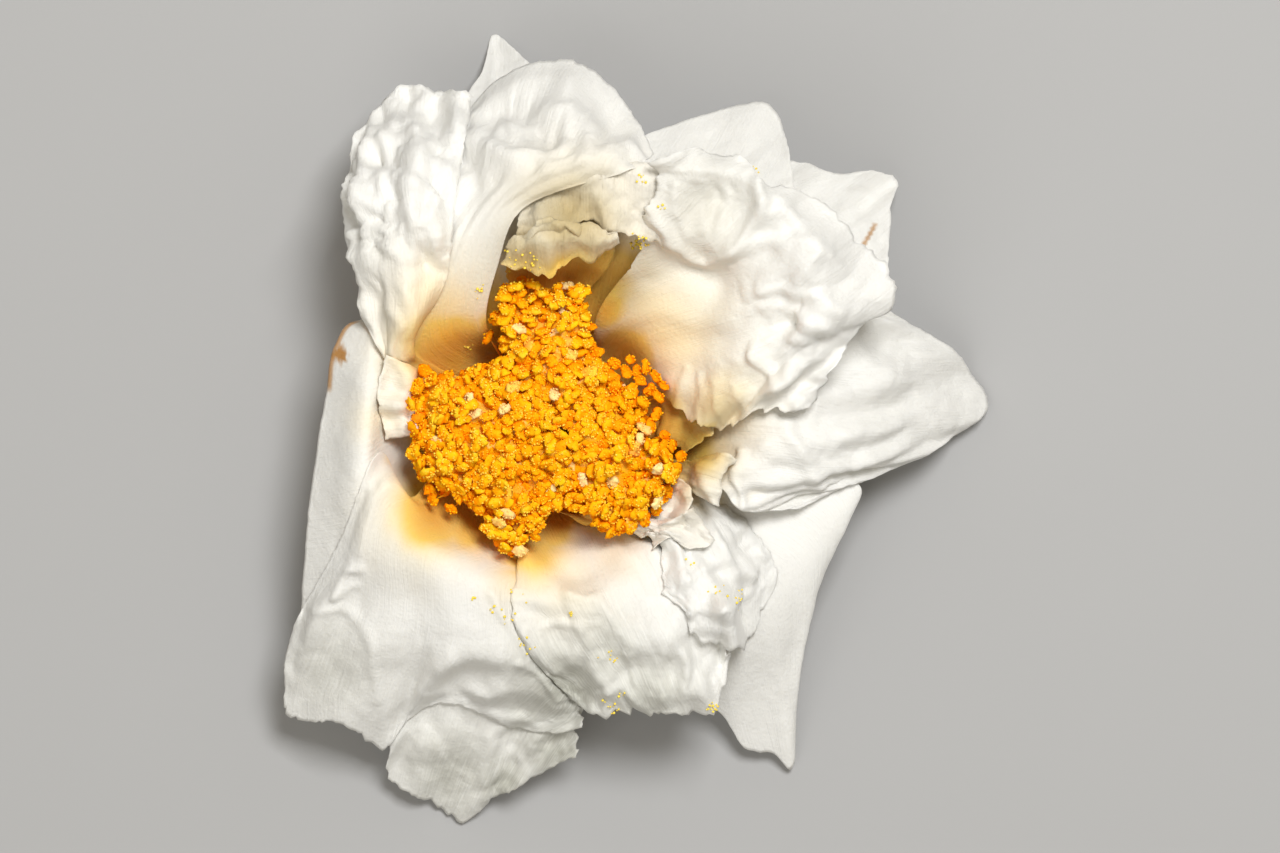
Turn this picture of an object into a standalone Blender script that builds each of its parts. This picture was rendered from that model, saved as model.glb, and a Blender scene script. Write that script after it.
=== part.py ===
"""A large white camellia flower, picked and resting on its back, open side up.

Thirteen petals and seven petaloids sit in rings on a small receptacle, round a lobed
head of golden stamens with the pistil in its middle and five sepals underneath.
Every petal is a thin solid lofted through a few rows of control points, base first,
then ruffled along its veins. Each petal is settled onto the ones below it.
"""

import math

import bmesh
import bpy
import numpy as np

MM = 0.001
SHIFT = (0.01, -0.86)  # moves the whole flower so that its box is centred, in mm
HEART = (-13.4, 0.0)  # axis of the receptacle in plan, in mm
PETAL_THICK = 0.6
SEAT_GAP = 0.3
CLEAR = 1.0  # least distance between the middles of two neighbouring petals
SCAR_RADIUS = 3.0
LOWEST = 0.45  # height of the middle of the tips that touch the surface

# Rings on the receptacle where petals are seated: radius and height of its surface
RINGS = {1: (6.2, 3.2), 2: (5.5, 5.0), 3: (4.8, 6.8), 4: (4.1, 8.4)}
RECEPTACLE_TOP = (3.5, 9.6)
RECEPTACLE_PROFILE = ((SCAR_RADIUS, 0.0), (5.2, 0.9), (6.3, 2.0))

# name: ring, direction and width of the base, rows across the calyx of points (x, y, z)
# in mm from the base to the margin, each from the left side to the right side as seen
# from the heart, then ruffle height, ruffle count, crumple height, crumple length, seed
PETALS = {
    "petal_outer_top": dict(
        seat=(1, 100, 4.6),
        rows=(
            ((-20, 11, 8.8), (-15.5, 12.5, 8.5), (-11, 12.3, 8.8)),
            ((-28, 32, 20), (-18, 35, 21.5), (-6, 33, 20)),
            ((-33, 48, 15), (-28.5, 56.5, 9), (-25.8, 61, 5), (-24.2, 67.2, -1.5),
             (-19.5, 63.5, 4), (-14, 58, 9), (-7, 51, 14), (-2, 43, 19)),
        ),
        ruffle=(0.5, 4), crumple=(0.4, 16), seed=2),
    "petal_outer_upper_right": dict(
        seat=(1, 30, 4.6),
        rows=(
            ((-4.5, 9.8, 8.8), (-2, 6.5, 8.5), (-0.8, 2.5, 8.8)),
            ((9, 28, 21.5), (17, 20, 22), (21, 9, 21)),
            ((22, 45, 15), (28.5, 45, 12), (34, 43.3, 10), (41, 43.6, 7), (44.2, 42.3, 6),
             (43.2, 38, 9), (42.7, 32, 12), (42, 26, 14), (40, 15, 17)),
        ),
        ruffle=(0.8, 5), crumple=(0.4, 14), seed=4),
    "petal_outer_lower_right": dict(
        seat=(1, -48, 4.6),
        rows=(
            ((-1.3, -5.5, 8.8), (-4.5, -9.5, 8.5), (-9, -12, 8.8)),
            ((16, -9, 19.5), (8, -19, 19), (-3, -24, 17.5)),
            ((33.3, -14.5, 18), (25, -25, 20), (13, -33, 19), (2, -36, 16)),
            ((28.5, -28, 11), (27.3, -39, 7), (26.8, -47, 4), (26.3, -57, -0.5),
             (21, -55.8, 3), (15, -49, 6), (8, -45, 9), (1, -42, 11)),
        ),
        ruffle=(0.3, 4), crumple=(0.3, 18), seed=7),
    "petal_outer_bottom": dict(
        seat=(1, -105, 4.6),
        rows=(
            ((-12, -12.8, 8.8), (-16.5, -12.6, 8.5), (-20.5, -10.8, 8.8)),
            ((-8, -34, 19), (-21, -37, 20), (-33, -32, 19)),
            ((-9.5, -55, 12), (-16.5, -58.5, 9), (-20.5, -61, 6), (-24, -62.5, 3.5),
             (-29.5, -67, 0.4), (-36, -63, 3), (-42, -59.5, 6), (-41.5, -53, 10),
             (-40, -46, 15)),
        ),
        ruffle=(0.8, 5), crumple=(0.4, 13), seed=10),
    "petal_outer_left": dict(
        seat=(1, 186, 4.6),
        rows=(
            ((-25, -5, 8.8), (-26, -1.2, 8.5), (-25, 3, 8.8)),
            ((-34, -10, 17), (-35.5, -1, 16.5), (-33, 9, 17)),
            ((-41, -16, 27), (-42, -4, 28.5), (-39.5, 12.5, 27)),
            ((-46, -22, 27.5), (-45, -6, 33), (-43, 15.5, 30.5)),
            ((-56, -31, 18), (-55.3, -22, 20.5), (-54, -10, 24), (-51, 9, 25),
             (-46.8, 18.6, 26)),
        ),
        ruffle=(0.3, 4), crumple=(0.3, 16), seed=11),
    "petal_middle_top": dict(
        seat=(2, 66, 4.4),
        rows=(
            ((-11, 12.7, 11), (-8, 11.8, 10.7), (-4.5, 9.6, 11)),
            ((-7, 31, 22.5), (4, 31, 24), (12, 26, 22.5)),
            ((-8, 45, 18), (1, 49.3, 14), (10, 52.6, 11), (18.5, 55, 8), (22.5, 54.7, 8),
             (24.8, 51, 11), (26, 45, 15), (27, 37, 21)),
        ),
        ruffle=(0.6, 5), crumple=(0.4, 15), seed=3),
    "petal_right": dict(
        seat=(2, -3, 4.4),
        rows=(
            ((-1, 3.5, 11), (-0.4, -0.7, 10.7), (-1.2, -4.8, 11)),
            ((8, 7, 19.5), (9, 0, 20), (7, -7, 20)),
            ((24, 12, 28), (24, 3, 31), (20, -5, 31.5), (14, -9.5, 29)),
            ((34, 17, 24), (38, 6, 24), (33, -4, 27), (25, -9.5, 28.5), (17, -13, 28.5)),
            ((41, 20.5, 17), (50.5, 15.6, 9), (55.7, 11.3, 4), (59.7, 4.3, 0.4),
             (54, -1.2, 6), (46, -5.5, 12), (37, -8.8, 18), (27, -13, 23)),
        ),
        ruffle=(1.2, 5), crumple=(0.5, 12), seed=6),
    "petal_lower_left": dict(
        seat=(2, -138, 4.4),
        rows=(
            ((-18.5, -12, 11), (-22.5, -9, 10.7), (-25.3, -5, 11)),
            ((-18.5, -18, 18.3), (-26.5, -13.5, 18), (-32.5, -6, 18.8)),
            ((-16.5, -22.5, 25), (-29, -18, 28), (-37.5, -11, 29.5)),
            ((-14, -28, 28.5), (-28.5, -23.5, 33), (-39.5, -15, 33.5), (-42, -3.5, 35)),
            ((-11, -40, 26), (-27, -36, 29.5), (-44, -29, 28), (-49, -18, 31)),
            ((-8, -49.5, 19), (-14, -51, 18), (-20, -50.5, 18.5), (-26, -47.5, 20),
             (-33, -46, 21), (-38.5, -49, 17), (-43, -54.5, 12), (-49, -49.5, 14),
             (-58.5, -48.5, 11), (-59, -41, 14), (-57.5, -33, 18)),
        ),
        ruffle=(1.0, 5), crumple=(0.5, 15), seed=9),
    "petal_upper_left_fan": dict(
        seat=(2, 134, 4.4),
        rows=(
            ((-24.5, 7.5, 11), (-22, 9.8, 10.7), (-19, 11.8, 11)),
            ((-33, 14, 18.3), (-29, 17, 18.5), (-24.7, 17.5, 19.5)),
            ((-33, 24, 29.5), (-28.5, 26.5, 30.5), (-22.8, 26.5, 31)),
            ((-31, 33, 36.5), (-25, 36, 39.5), (-17, 37, 41)),
            ((-31, 42, 30), (-24, 44.5, 38.5), (-14, 44.5, 42.5), (-5, 42, 43)),
            ((-29.5, 51, 19), (-24, 58, 19), (-17, 61, 20), (-11, 62, 22), (-5, 58.5, 23),
             (-0.3, 52, 27), (1.5, 46.5, 33)),
        ),
        ruffle=(1.2, 5), crumple=(1.0, 11), seed=12),
    "petal_left_fan": dict(
        seat=(3, 156, 4),
        rows=(
            ((-25.8, 2.5, 13.2), (-25.3, 5.3, 13), (-23.8, 7.8, 13.4)),
            ((-35, 5.5, 21), (-34, 9, 21.5), (-31.5, 12, 22)),
            ((-43, 13.8, 32), (-39.5, 12.8, 32), (-35.5, 15.5, 32)),
            ((-46.3, 24, 30), (-40, 24, 37), (-31, 24.5, 38)),
            ((-48.7, 37, 27), (-45, 38, 34), (-38, 39, 38), (-29.5, 36, 40.5)),
            ((-47.7, 46, 21), (-44.3, 52.5, 18.5), (-39.6, 57.5, 16.5), (-33, 57, 20),
             (-27, 56, 25)),
        ),
        ruffle=(1.6, 5), crumple=(1.1, 11), seed=1),
    "petal_upper_right_funnel": dict(
        seat=(3, 38, 4.2),
        rows=(
            ((-6.8, 11, 13.2), (-3.6, 8.2, 12.9), (-1.5, 4.8, 13.2)),
            ((-5, 20, 20.5), (2.5, 16, 20.5), (4, 9, 21)),
            ((2, 29, 32), (12, 22, 31), (10, 10.5, 28.5)),
            ((3, 37, 39), (14, 30, 39), (22, 19, 40), (18, 6, 34.5)),
            ((5, 42, 43), (16, 38, 43), (26, 31, 45), (29, 17, 43), (25, 5, 38)),
            ((3, 43.5, 44), (10.5, 46.5, 44), (14, 45, 42), (17.5, 45.5, 42),
             (21, 40.5, 43), (26, 40, 41), (32, 37, 39), (36.5, 31.5, 38), (41, 28.5, 36),
             (42.6, 25, 35), (42.2, 20, 34), (38.5, 18, 35), (34, 12, 36),
             (31, 6.5, 37), (28.5, 3, 37)),
        ),
        ruffle=(1.8, 5), crumple=(1.1, 11), seed=5),
    "petal_bottom_inner": dict(
        seat=(3, -88, 4),
        rows=(
            ((-9, -12, 13.2), (-12.5, -12.9, 12.9), (-16.3, -12.6, 13.2)),
            ((-2, -16, 19.5), (-8.5, -17, 19.3), (-17, -17.5, 20)),
            ((6, -20.5, 27.5), (-4, -22.5, 28), (-17, -24, 28.5)),
            ((14, -27, 30.5), (4, -31, 32), (-5, -31.5, 32.5), (-17.5, -30.5, 32)),
            ((16, -38, 27.5), (14.8, -43, 25.5), (13, -47.7, 23.5), (9, -48.2, 24),
             (4, -48.2, 24), (-1, -47.7, 24), (-6.8, -47.7, 23.5)),
        ),
        ruffle=(1.3, 5), crumple=(0.8, 11), seed=8),
    "petal_lower_right_inner": dict(
        seat=(3, -37, 3.4),
        rows=(
            ((-1.6, -5, 13.2), (-2.8, -7.5, 12.9), (-4.6, -9.7, 13.2)),
            ((6.5, -9.5, 21.5), (4, -12.5, 21.5), (0.5, -14.5, 22)),
            ((16, -14, 29.5), (11, -19, 30.5), (5.5, -20.5, 30)),
            ((23, -20, 31), (16, -27, 33), (9, -27.5, 33)),
            ((22, -28, 29.5), (18.5, -34, 28.5), (14, -37, 29), (9.5, -34, 31)),
        ),
        ruffle=(1.1, 5), crumple=(0.8, 9), seed=13),
    "petaloid_top_back": dict(
        seat=(3, 88, 3),
        rows=(
            ((-17, 12.6, 13.2), (-13.2, 13, 12.9), (-9.6, 12.5, 13.2)),
            ((-19, 24, 21.5), (-12, 25, 21.5), (-4.5, 23, 21.5)),
            ((-18.5, 31, 32.5), (-10, 33, 33), (0, 31, 33)),
            ((-13.5, 37, 40), (-9, 38.8, 41.5), (-4, 39.4, 42), (2.5, 37.5, 41)),
        ),
        ruffle=(1.3, 5), crumple=(0.9, 7), seed=14),
    "petaloid_top_front": dict(
        seat=(4, 102, 2.4),
        rows=(
            ((-18.5, 11.5, 15.6), (-16, 12.6, 15.4), (-13.2, 12.8, 15.6)),
            ((-20, 20, 22.5), (-15, 22.5, 23.5), (-9, 22, 23.5)),
            ((-21.5, 25, 29), (-14, 27.5, 30.5), (-4, 26.5, 30.5)),
            ((-22, 28, 33.5), (-17, 31, 36), (-12, 30, 35.5), (-7.5, 27.5, 34),
             (-3, 30.5, 36.5), (0.5, 29, 36)),
        ),
        ruffle=(1.1, 5), crumple=(0.8, 6), seed=15),
    "petaloid_right": dict(
        seat=(4, 12, 2.4),
        rows=(
            ((-1.5, 5, 15.6), (-0.6, 2.2, 15.4), (-0.6, -0.8, 15.6)),
            ((3.5, 8.5, 24), (5.5, 3, 23.5), (4.5, -2.5, 24)),
            ((6, 11.5, 31), (9.5, 7, 33), (10.5, 1, 32.5), (8.5, -3.5, 31)),
        ),
        ruffle=(0.9, 4), crumple=(0.7, 6), seed=16),
    "petaloid_right_curl": dict(
        seat=(4, -24, 1.8),
        rows=(
            ((-0.9, -3.4, 15.6), (-1.5, -5.2, 15.4), (-2.6, -6.9, 15.6)),
            ((8, -4.8, 25), (7.8, -7, 25), (6.5, -9, 25.5)),
            ((15.5, -4, 33), (12, -6, 34), (11.8, -9.5, 34.5), (13.2, -12.6, 34)),
        ),
        ruffle=(0.6, 3), crumple=(0.5, 6), seed=17),
    "petaloid_pale_upper": dict(
        seat=(4, -58, 1.8),
        rows=(
            ((-4.8, -9.6, 15.6), (-6.3, -10.8, 15.4), (-8, -11.7, 15.6)),
            ((3.5, -12.5, 24.5), (1.5, -14.3, 24.5), (-1, -15.5, 24.5)),
            ((9.8, -9.8, 31), (9.6, -13.3, 33), (6.5, -15.8, 33), (3.5, -16, 31.5)),
        ),
        ruffle=(0.7, 3), crumple=(0.6, 5), seed=18),
    "petaloid_pale_lower": dict(
        seat=(4, -92, 1.8),
        rows=(
            ((-11, -12.6, 15.6), (-12.8, -12.9, 15.4), (-14.6, -12.8, 15.6)),
            ((-1.5, -18.5, 24.5), (-4, -19.8, 24.5), (-7, -20.2, 24.5)),
            ((12.5, -15.8, 33.5), (12, -20, 35), (7, -21.8, 35), (2.5, -20.5, 33)),
        ),
        ruffle=(0.8, 3), crumple=(0.6, 5), seed=19),
    "petaloid_left": dict(
        seat=(4, 172, 2.2),
        rows=(
            ((-26.2, -0.8, 15.6), (-26.3, 1.6, 15.4), (-26, 4, 15.6)),
            ((-33, -0.8, 22.5), (-33.5, 4, 22.5), (-32.5, 7.5, 23)),
            ((-38.5, 0, 32.5), (-39.5, 6, 33.5), (-38.5, 11, 33)),
        ),
        ruffle=(0.5, 3), crumple=(0.5, 7), seed=20),
}

# Lobes of the stamen head: direction, reach from the heart in mm, half-width in degrees
LOBES = ((78, 23, 17), (107, 25, 18), (148, 17, 9), (160, 24, 10), (180, 24, 16),
         (205, 23, 14), (228, 19, 14), (247, 22, 14), (299, 21, 6), (313, 20, 10),
         (330, 22, 17), (5, 16, 22), (25, 17, 9))
HEAD_NARROW = 13.0  # reach of the head between its lobes
HEAD_TOP = 35.0
HEAD_DROP = 3.5  # how far the tips of the lobes hang below the middle
CORE_CLEAR = 1.6  # least distance from the petals to the core, and to an anther
ANTHER_CLEAR = 2.2
TUBE_RADIUS = 3.4
TUBE_BORE = 2.2
TUBE_FOOT = 10.0
ANTHERS = 120
ANTHER_PITCH = 1.62  # radius of the spiral lattice grows by this times the root of the count
ANTHER_LONG = 3.2
ANTHER_WIDE = 2.3
ANTHER_ROOT = 2.3  # how deep the point of its stalk reaches
STAMEN_SEED = 31
PISTIL_PROFILE = ((1.3, 9.9), (1.8, 11), (1.75, 12.5), (1.2, 14.2), (0.6, 15.5), (0.5, 22),
                  (0.5, 29.5), (0.9, 31.2), (1.1, 31.8))

SEPALS = 5
SEPAL_LENGTH = 10.5
SEPAL_WIDTH = 8.5
SEPAL_THICK = 0.9

CELL = 0.4  # side of a cell of the height map, in mm
MAP_HALF = 75.0
EMPTY = -50.0
PARTS = 12  # samples along each side of a facet when it is laid on the height map

# name: base colour, roughness
COLOURS = {
    "petal_white": ((0.90, 0.88, 0.84, 1), 0.55),
    "petaloid_cream": ((0.88, 0.84, 0.77, 1), 0.6),
    "anther_gold": ((0.95, 0.58, 0.05, 1), 0.8),
    "pistil_green": ((0.62, 0.66, 0.30, 1), 0.5),
    "sepal_green": ((0.25, 0.34, 0.12, 1), 0.6),
    "receptacle_green": ((0.36, 0.40, 0.18, 1), 0.7),
}


def clear_scene():
    for obj in list(bpy.data.objects):
        bpy.data.objects.remove(obj, do_unlink=True)


def material(name):
    """A plain material with the colour and roughness of the table."""
    made = bpy.data.materials.get(name) or bpy.data.materials.new(name)
    made.use_nodes = True
    shader = made.node_tree.nodes["Principled BSDF"]
    colour, rough = COLOURS[name]
    shader.inputs["Base Color"].default_value = colour
    shader.inputs["Roughness"].default_value = rough
    shader.inputs["Metallic"].default_value = 0.0
    return made


def add_object(name, points, faces, slot):
    """An object from points in mm and a list of faces."""
    placed = np.asarray(points, float) + (SHIFT[0], SHIFT[1], 0)
    mesh = bpy.data.meshes.new(name)
    mesh.from_pydata((placed * MM).tolist(), [], faces)
    mesh.update()
    mesh.shade_smooth()
    obj = bpy.data.objects.new(name, mesh)
    obj.data.materials.append(material(slot))
    bpy.context.collection.objects.link(obj)
    return obj


def through(points, knots, at):
    """A smooth curve (cubic Hermite) through rows of points, read at the values `at`."""
    k = np.asarray(knots, float)
    p = np.asarray(points, float)
    slope = np.gradient(p, k, axis=0)
    i = np.clip(np.searchsorted(k, at, side="right") - 1, 0, len(k) - 2)
    step = (k[i + 1] - k[i]).reshape((-1,) + (1,) * (p.ndim - 1))
    f = (at - k[i]).reshape(step.shape) / step
    left = (1 + 2 * f) * (1 - f) ** 2 * p[i] + f * (1 - f) ** 2 * step * slope[i]
    right = f * f * (3 - 2 * f) * p[i + 1] - f * f * (1 - f) * step * slope[i + 1]
    return left + right


def evenly(points, count):
    """Points an even distance apart on the smooth curve through the given ones."""
    p = np.asarray(points, float)
    knots = np.concatenate([[0], np.cumsum(np.linalg.norm(np.diff(p, axis=0), axis=1) ** 0.5)])
    fine = through(p, knots, np.linspace(0, knots[-1], 40 * len(p)))
    run = np.concatenate([[0], np.cumsum(np.linalg.norm(np.diff(fine, axis=0), axis=1))])
    at = np.linspace(0, run[-1], count)
    return np.stack([np.interp(at, run, fine[:, c]) for c in range(3)], axis=1)


def loft(rows, along, across):
    """A grid (along, across, 3) of points on the smooth surface through the rows."""
    r = np.stack([evenly(row, across) for row in rows])
    step = np.linalg.norm(np.diff(r, axis=0), axis=2).mean(axis=1)
    knots = np.concatenate([[0], np.cumsum(step ** 0.5)])
    at = np.linspace(0, knots[-1], 40 * len(rows))
    fine = through(r, knots, at)
    step = np.linalg.norm(np.diff(fine, axis=0), axis=2).mean(axis=1)
    run = np.concatenate([[0], np.cumsum(step)])
    return through(r, knots, np.interp(np.linspace(0, run[-1], along), run, at))


def seat_row(ring, turn, width):
    """The base of a petal: a short arc that lies just off the cone of the receptacle."""
    radius, height = RINGS[ring]
    off = SEAT_GAP + PETAL_THICK / 2
    radius, height = radius + off * 0.93, height + off * 0.37
    angle = math.radians(turn) + np.linspace(0.5, -0.5, 3) * width / radius
    return [(HEART[0] + radius * math.cos(a), HEART[1] + radius * math.sin(a), height)
            for a in angle]


def waves(s, t, length, seed):
    """Smooth unevenness about 1 high: nine plane waves of about that length, seeded."""
    rng = np.random.default_rng(seed)
    turn = rng.uniform(0, math.pi, 9)
    size = length * rng.uniform(0.7, 1.5, 9)
    phase = rng.uniform(0, 2 * math.pi, 9)
    total = np.zeros_like(s)
    for a, l, p in zip(turn, size, phase):
        total += np.sin(2 * math.pi * (s * math.cos(a) + t * math.sin(a)) / l + p)
    return total / math.sqrt(4.5)


def normals(grid):
    """The unit normals of a grid, on the side that faces up from the heart."""
    n = np.cross(np.gradient(grid, axis=1), np.gradient(grid, axis=0))
    return n / np.maximum(np.linalg.norm(n, axis=2, keepdims=True), 1e-9)


def petal_grid(shape, along, across):
    """The middle surface of a petal: lofted rows, ruffled at the margin and crumpled."""
    grid = loft([seat_row(*shape["seat"])] + list(shape["rows"]), along, across)
    u = np.linspace(0, 1, along)[:, None] * np.ones((1, across))
    v = np.ones((along, 1)) * np.linspace(-1, 1, across)[None, :]
    s = u * np.linalg.norm(np.diff(grid, axis=0), axis=2).sum(axis=0).mean()
    t = v * np.linalg.norm(np.diff(grid, axis=1), axis=2).sum(axis=1)[:, None] / 2
    high, count = shape["ruffle"]
    size, length = shape["crumple"]
    phase = shape["seed"] * 1.7 + 0.8 * np.sin(3 * v + shape["seed"])
    lift = high * u ** 3 * np.sin(math.pi * count * v + phase)
    lift += size * np.clip(2.2 * u - 0.7, 0, 1) * waves(s, t, length, shape["seed"])
    grid = grid + lift[..., None] * normals(grid)
    grid[..., 2] = np.maximum(grid[..., 2], LOWEST)
    return grid


def spread(a, reach, how):
    """The greatest or mean value over a square window of a grid."""
    for axis in (0, 1):
        pad = [(0, 0), (0, 0)]
        pad[axis] = (reach, reach)
        wide = np.pad(a, pad, mode="edge")
        span = range(2 * reach + 1)
        a = how([np.take(wide, range(k, k + a.shape[axis]), axis=axis) for k in span], axis=0)
    return a


class HeightMap:
    """How high the flower built so far reaches over each cell of the plan."""

    def __init__(self):
        count = int(2 * MAP_HALF / CELL) + 2
        self.top = np.full((count, count), EMPTY)

    def cells(self, points):
        place = np.rint((points[..., :2] + MAP_HALF) / CELL).astype(int)
        place = np.clip(place, 1, len(self.top) - 2)
        return place[..., 0], place[..., 1]

    def clearance(self, reach):
        """The map grown by a ball of the given radius."""
        n = int(math.ceil(reach / CELL))
        size = len(self.top)
        wide = np.pad(self.top, n, constant_values=EMPTY)
        grown = np.full_like(self.top, EMPTY)
        for i in range(-n, n + 1):
            for j in range(-n, n + 1):
                rest = reach ** 2 - (i * i + j * j) * CELL ** 2
                if rest >= 0:
                    part = wide[n + i:n + i + size, n + j:n + j + size]
                    grown = np.maximum(grown, part + math.sqrt(rest))
        return grown

    def add(self, points):
        np.maximum.at(self.top, self.cells(points), points[..., 2])


def finer(grid, times):
    """The grid with its flat facets divided into `times` parts each way."""
    for axis in (0, 1):
        n = grid.shape[axis]
        at = np.linspace(0, n - 1, (n - 1) * times + 1)
        low = np.minimum(at.astype(int), n - 2)
        shape = [1, 1, 1]
        shape[axis] = -1
        f = (at - low).reshape(shape)
        grid = np.take(grid, low, axis) * (1 - f) + np.take(grid, low + 1, axis) * f
    return grid


def settle(grid, heights):
    """Raises a petal smoothly wherever it would come too near the ones below it."""
    floor = heights.clearance(CLEAR)
    for attempt in range(12):
        fine = finer(grid, PARTS)
        need = np.maximum(floor[heights.cells(fine)] - fine[..., 2], 0)
        if need.max() < 0.01:
            break
        lift = spread(need, PARTS // 2 if attempt < 8 else PARTS, np.max)[::PARTS, ::PARTS]
        grid = grid + lift[..., None] * (0, 0, 1)
    heights.add(finer(grid, PARTS))
    return grid


def sheet_faces(along, across, offset, flip):
    """Triangles of a grid, with the same diagonal in every cell."""
    faces = []
    for i in range(along - 1):
        for j in range(across - 1):
            a = offset + i * across + j
            b, c, d = a + 1, a + across, a + across + 1
            pair = [(a, d, c), (a, b, d)]
            faces += [f[::-1] for f in pair] if flip else pair
    return faces


def sheet_solid(grid, thick):
    """A closed sheet of even thickness: two faces alike and the rim between them."""
    along, across = grid.shape[:2]
    off = normals(grid) * thick / 2
    points = np.concatenate([(grid + off).reshape(-1, 3), (grid - off).reshape(-1, 3)])
    count = along * across
    faces = sheet_faces(along, across, 0, False) + sheet_faces(along, across, count, True)
    rim = [i * across for i in range(along)]
    rim += [(along - 1) * across + j for j in range(1, across)]
    rim += [i * across + across - 1 for i in range(along - 2, -1, -1)]
    rim += [j for j in range(across - 2, 0, -1)]
    for a, b in zip(rim, rim[1:] + rim[:1]):
        faces += [(a, b, b + count), (a, b + count, a + count)]
    return points, faces


def lathe(profile, sides, centre, lobe=0.0):
    """A turned solid with flat ends, from (radius, height) pairs, lowest first."""
    turn = np.linspace(0, 2 * math.pi, sides, endpoint=False)
    points = [(centre[0] + r * math.cos(a) * (1 + lobe * math.cos(3 * a) * (k == len(profile) - 1)),
               centre[1] + r * math.sin(a) * (1 + lobe * math.cos(3 * a) * (k == len(profile) - 1)), z)
              for k, (r, z) in enumerate(profile) for a in turn]
    faces = [tuple(range(sides - 1, -1, -1))]
    for k in range(len(profile) - 1):
        for j in range(sides):
            a, b = k * sides + j, k * sides + (j + 1) % sides
            faces.append((a, b, b + sides, a + sides))
    last = (len(profile) - 1) * sides
    faces.append(tuple(range(last, last + sides)))
    return points, faces


def add_receptacle():
    """The green cone that carries everything, with the round scar of the stalk below."""
    steps = [RINGS[ring] for ring in sorted(RINGS)]
    profile = list(RECEPTACLE_PROFILE) + steps + [RECEPTACLE_TOP]
    points, faces = lathe(profile, 20, HEART)
    add_object("receptacle", points, faces, "receptacle_green")


def sepal_grid(index, along, across):
    """A cupped green scale under the petals, widest at its middle."""
    turn = 2 * math.pi * (index + 0.3) / SEPALS
    u = np.linspace(0, 1, along)[:, None] * np.ones((1, across))
    v = np.ones((along, 1)) * np.linspace(1, -1, across)[None, :]
    half = SEPAL_WIDTH / 2 * (0.42 + 0.58 * np.sin(math.pi * np.clip(0.12 + 0.75 * u, 0, 1)))
    half = half * (1 - 0.75 * np.clip(u * 3 - 2, 0, 1) ** 2)
    radius = 6.0 + 0.55 + SEPAL_LENGTH * 0.93 * u
    side = half * v
    height = 1.25 + 0.3 * u + 2.8 * u ** 2 + 0.045 * side ** 2
    x = HEART[0] + radius * math.cos(turn) - side * math.sin(turn)
    y = HEART[1] + radius * math.sin(turn) + side * math.cos(turn)
    return np.stack([x, y, height], axis=2)


def add_sepals(heights):
    for index in range(SEPALS):
        grid = sepal_grid(index, 7, 6)
        heights.add(finer(grid, PARTS))
        points, faces = sheet_solid(grid, SEPAL_THICK)
        add_object(f"sepal_{index + 1}", points, faces, "sepal_green")


def grid_size(shape):
    """How many points a petal needs along and across, from its size."""
    rows = shape["rows"]
    wide = max(np.linalg.norm(np.diff(np.asarray(r, float), axis=0), axis=1).sum() for r in rows)
    middle = np.array([evenly(r, 3)[1] for r in rows])
    long = np.linalg.norm(np.diff(middle, axis=0), axis=1).sum() + 8
    return int(np.clip(long / 5.2, 6, 12)) + 1, int(np.clip(wide / 5.5, 5, 13)) + 1


def add_petals(heights):
    for name, shape in PETALS.items():
        grid = settle(petal_grid(shape, *grid_size(shape)), heights)
        points, faces = sheet_solid(grid, PETAL_THICK)
        slot = "petaloid_cream" if name.startswith("petaloid") else "petal_white"
        add_object(name, points, faces, slot)


def head_reach(turn):
    """How far the stamen head reaches in a direction, in degrees."""
    reach = np.full_like(turn, HEAD_NARROW)
    for middle, far, half in LOBES:
        off = (turn - middle + 180) % 360 - 180
        reach = np.maximum(reach, HEAD_NARROW + (far - HEAD_NARROW) * np.exp(-(off / half) ** 6))
    return reach


def head_top(x, y, share):
    """Height of the head's upper side: a low dome with soft clumps."""
    clumps = waves(x, y, 9, STAMEN_SEED)
    return HEAD_TOP - HEAD_DROP * share ** 2 + 0.7 * clumps


def head_core(heights):
    """The mass of filaments: a tube that opens into a lobed head, round the pistil."""
    sides = 48
    turn = np.linspace(0, 2 * math.pi, sides, endpoint=False)
    far = head_reach(np.degrees(turn)) - 1.2
    floor = spread(heights.clearance(CORE_CLEAR), 1, np.max)
    rings = []

    def ring(radius, height):
        rings.append(np.stack([HEART[0] + radius * np.cos(turn),
                               HEART[1] + radius * np.sin(turn),
                               height * np.ones(sides)], axis=1))

    for radius, height in ((TUBE_RADIUS, TUBE_FOOT), (TUBE_RADIUS, 14), (TUBE_RADIUS + 0.8, 18)):
        ring(radius, height)
    for share in (0.45, 0.75, 1.0):
        ring(far * share, 19.5 + 8.0 * share)
        i, j = heights.cells(rings[-1])
        rings[-1][:, 2] = np.maximum(rings[-1][:, 2], floor[i, j])
    low = rings[-1][:, 2]
    for share in (0.97, 0.8, 0.6, 0.4, 0.22):
        x = HEART[0] + far * share * np.cos(turn)
        y = HEART[1] + far * share * np.sin(turn)
        ring(far * share, np.maximum(head_top(x, y, share), low * share + 2 + 24 * (1 - share)))
    ring(TUBE_BORE, HEAD_TOP - 3)
    ring(TUBE_BORE, TUBE_FOOT)
    points = np.concatenate(rings)
    faces = []
    for k in range(len(rings)):
        for j in range(sides):
            a, b = k * sides + j, k * sides + (j + 1) % sides
            c, d = (a + sides) % len(points), (b + sides) % len(points)
            faces.append((a, b, d, c))
    return points, faces


def anther(middle, along, up):
    """A small grain of eight triangles with pointed ends, tapering down to its stalk."""
    side = np.cross(up, along)
    side /= np.linalg.norm(side)
    up = np.cross(along, side)
    long, wide = ANTHER_LONG / 2, ANTHER_WIDE / 2
    points = [middle + along * long, middle + side * wide + up * 0.1, middle + up * wide,
              middle - side * wide + up * 0.1, middle - up * ANTHER_ROOT, middle - along * long]
    faces = [(0, 1, 2), (0, 2, 3), (0, 3, 4), (0, 4, 1),
             (5, 2, 1), (5, 3, 2), (5, 4, 3), (5, 1, 4)]
    return points, faces


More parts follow.
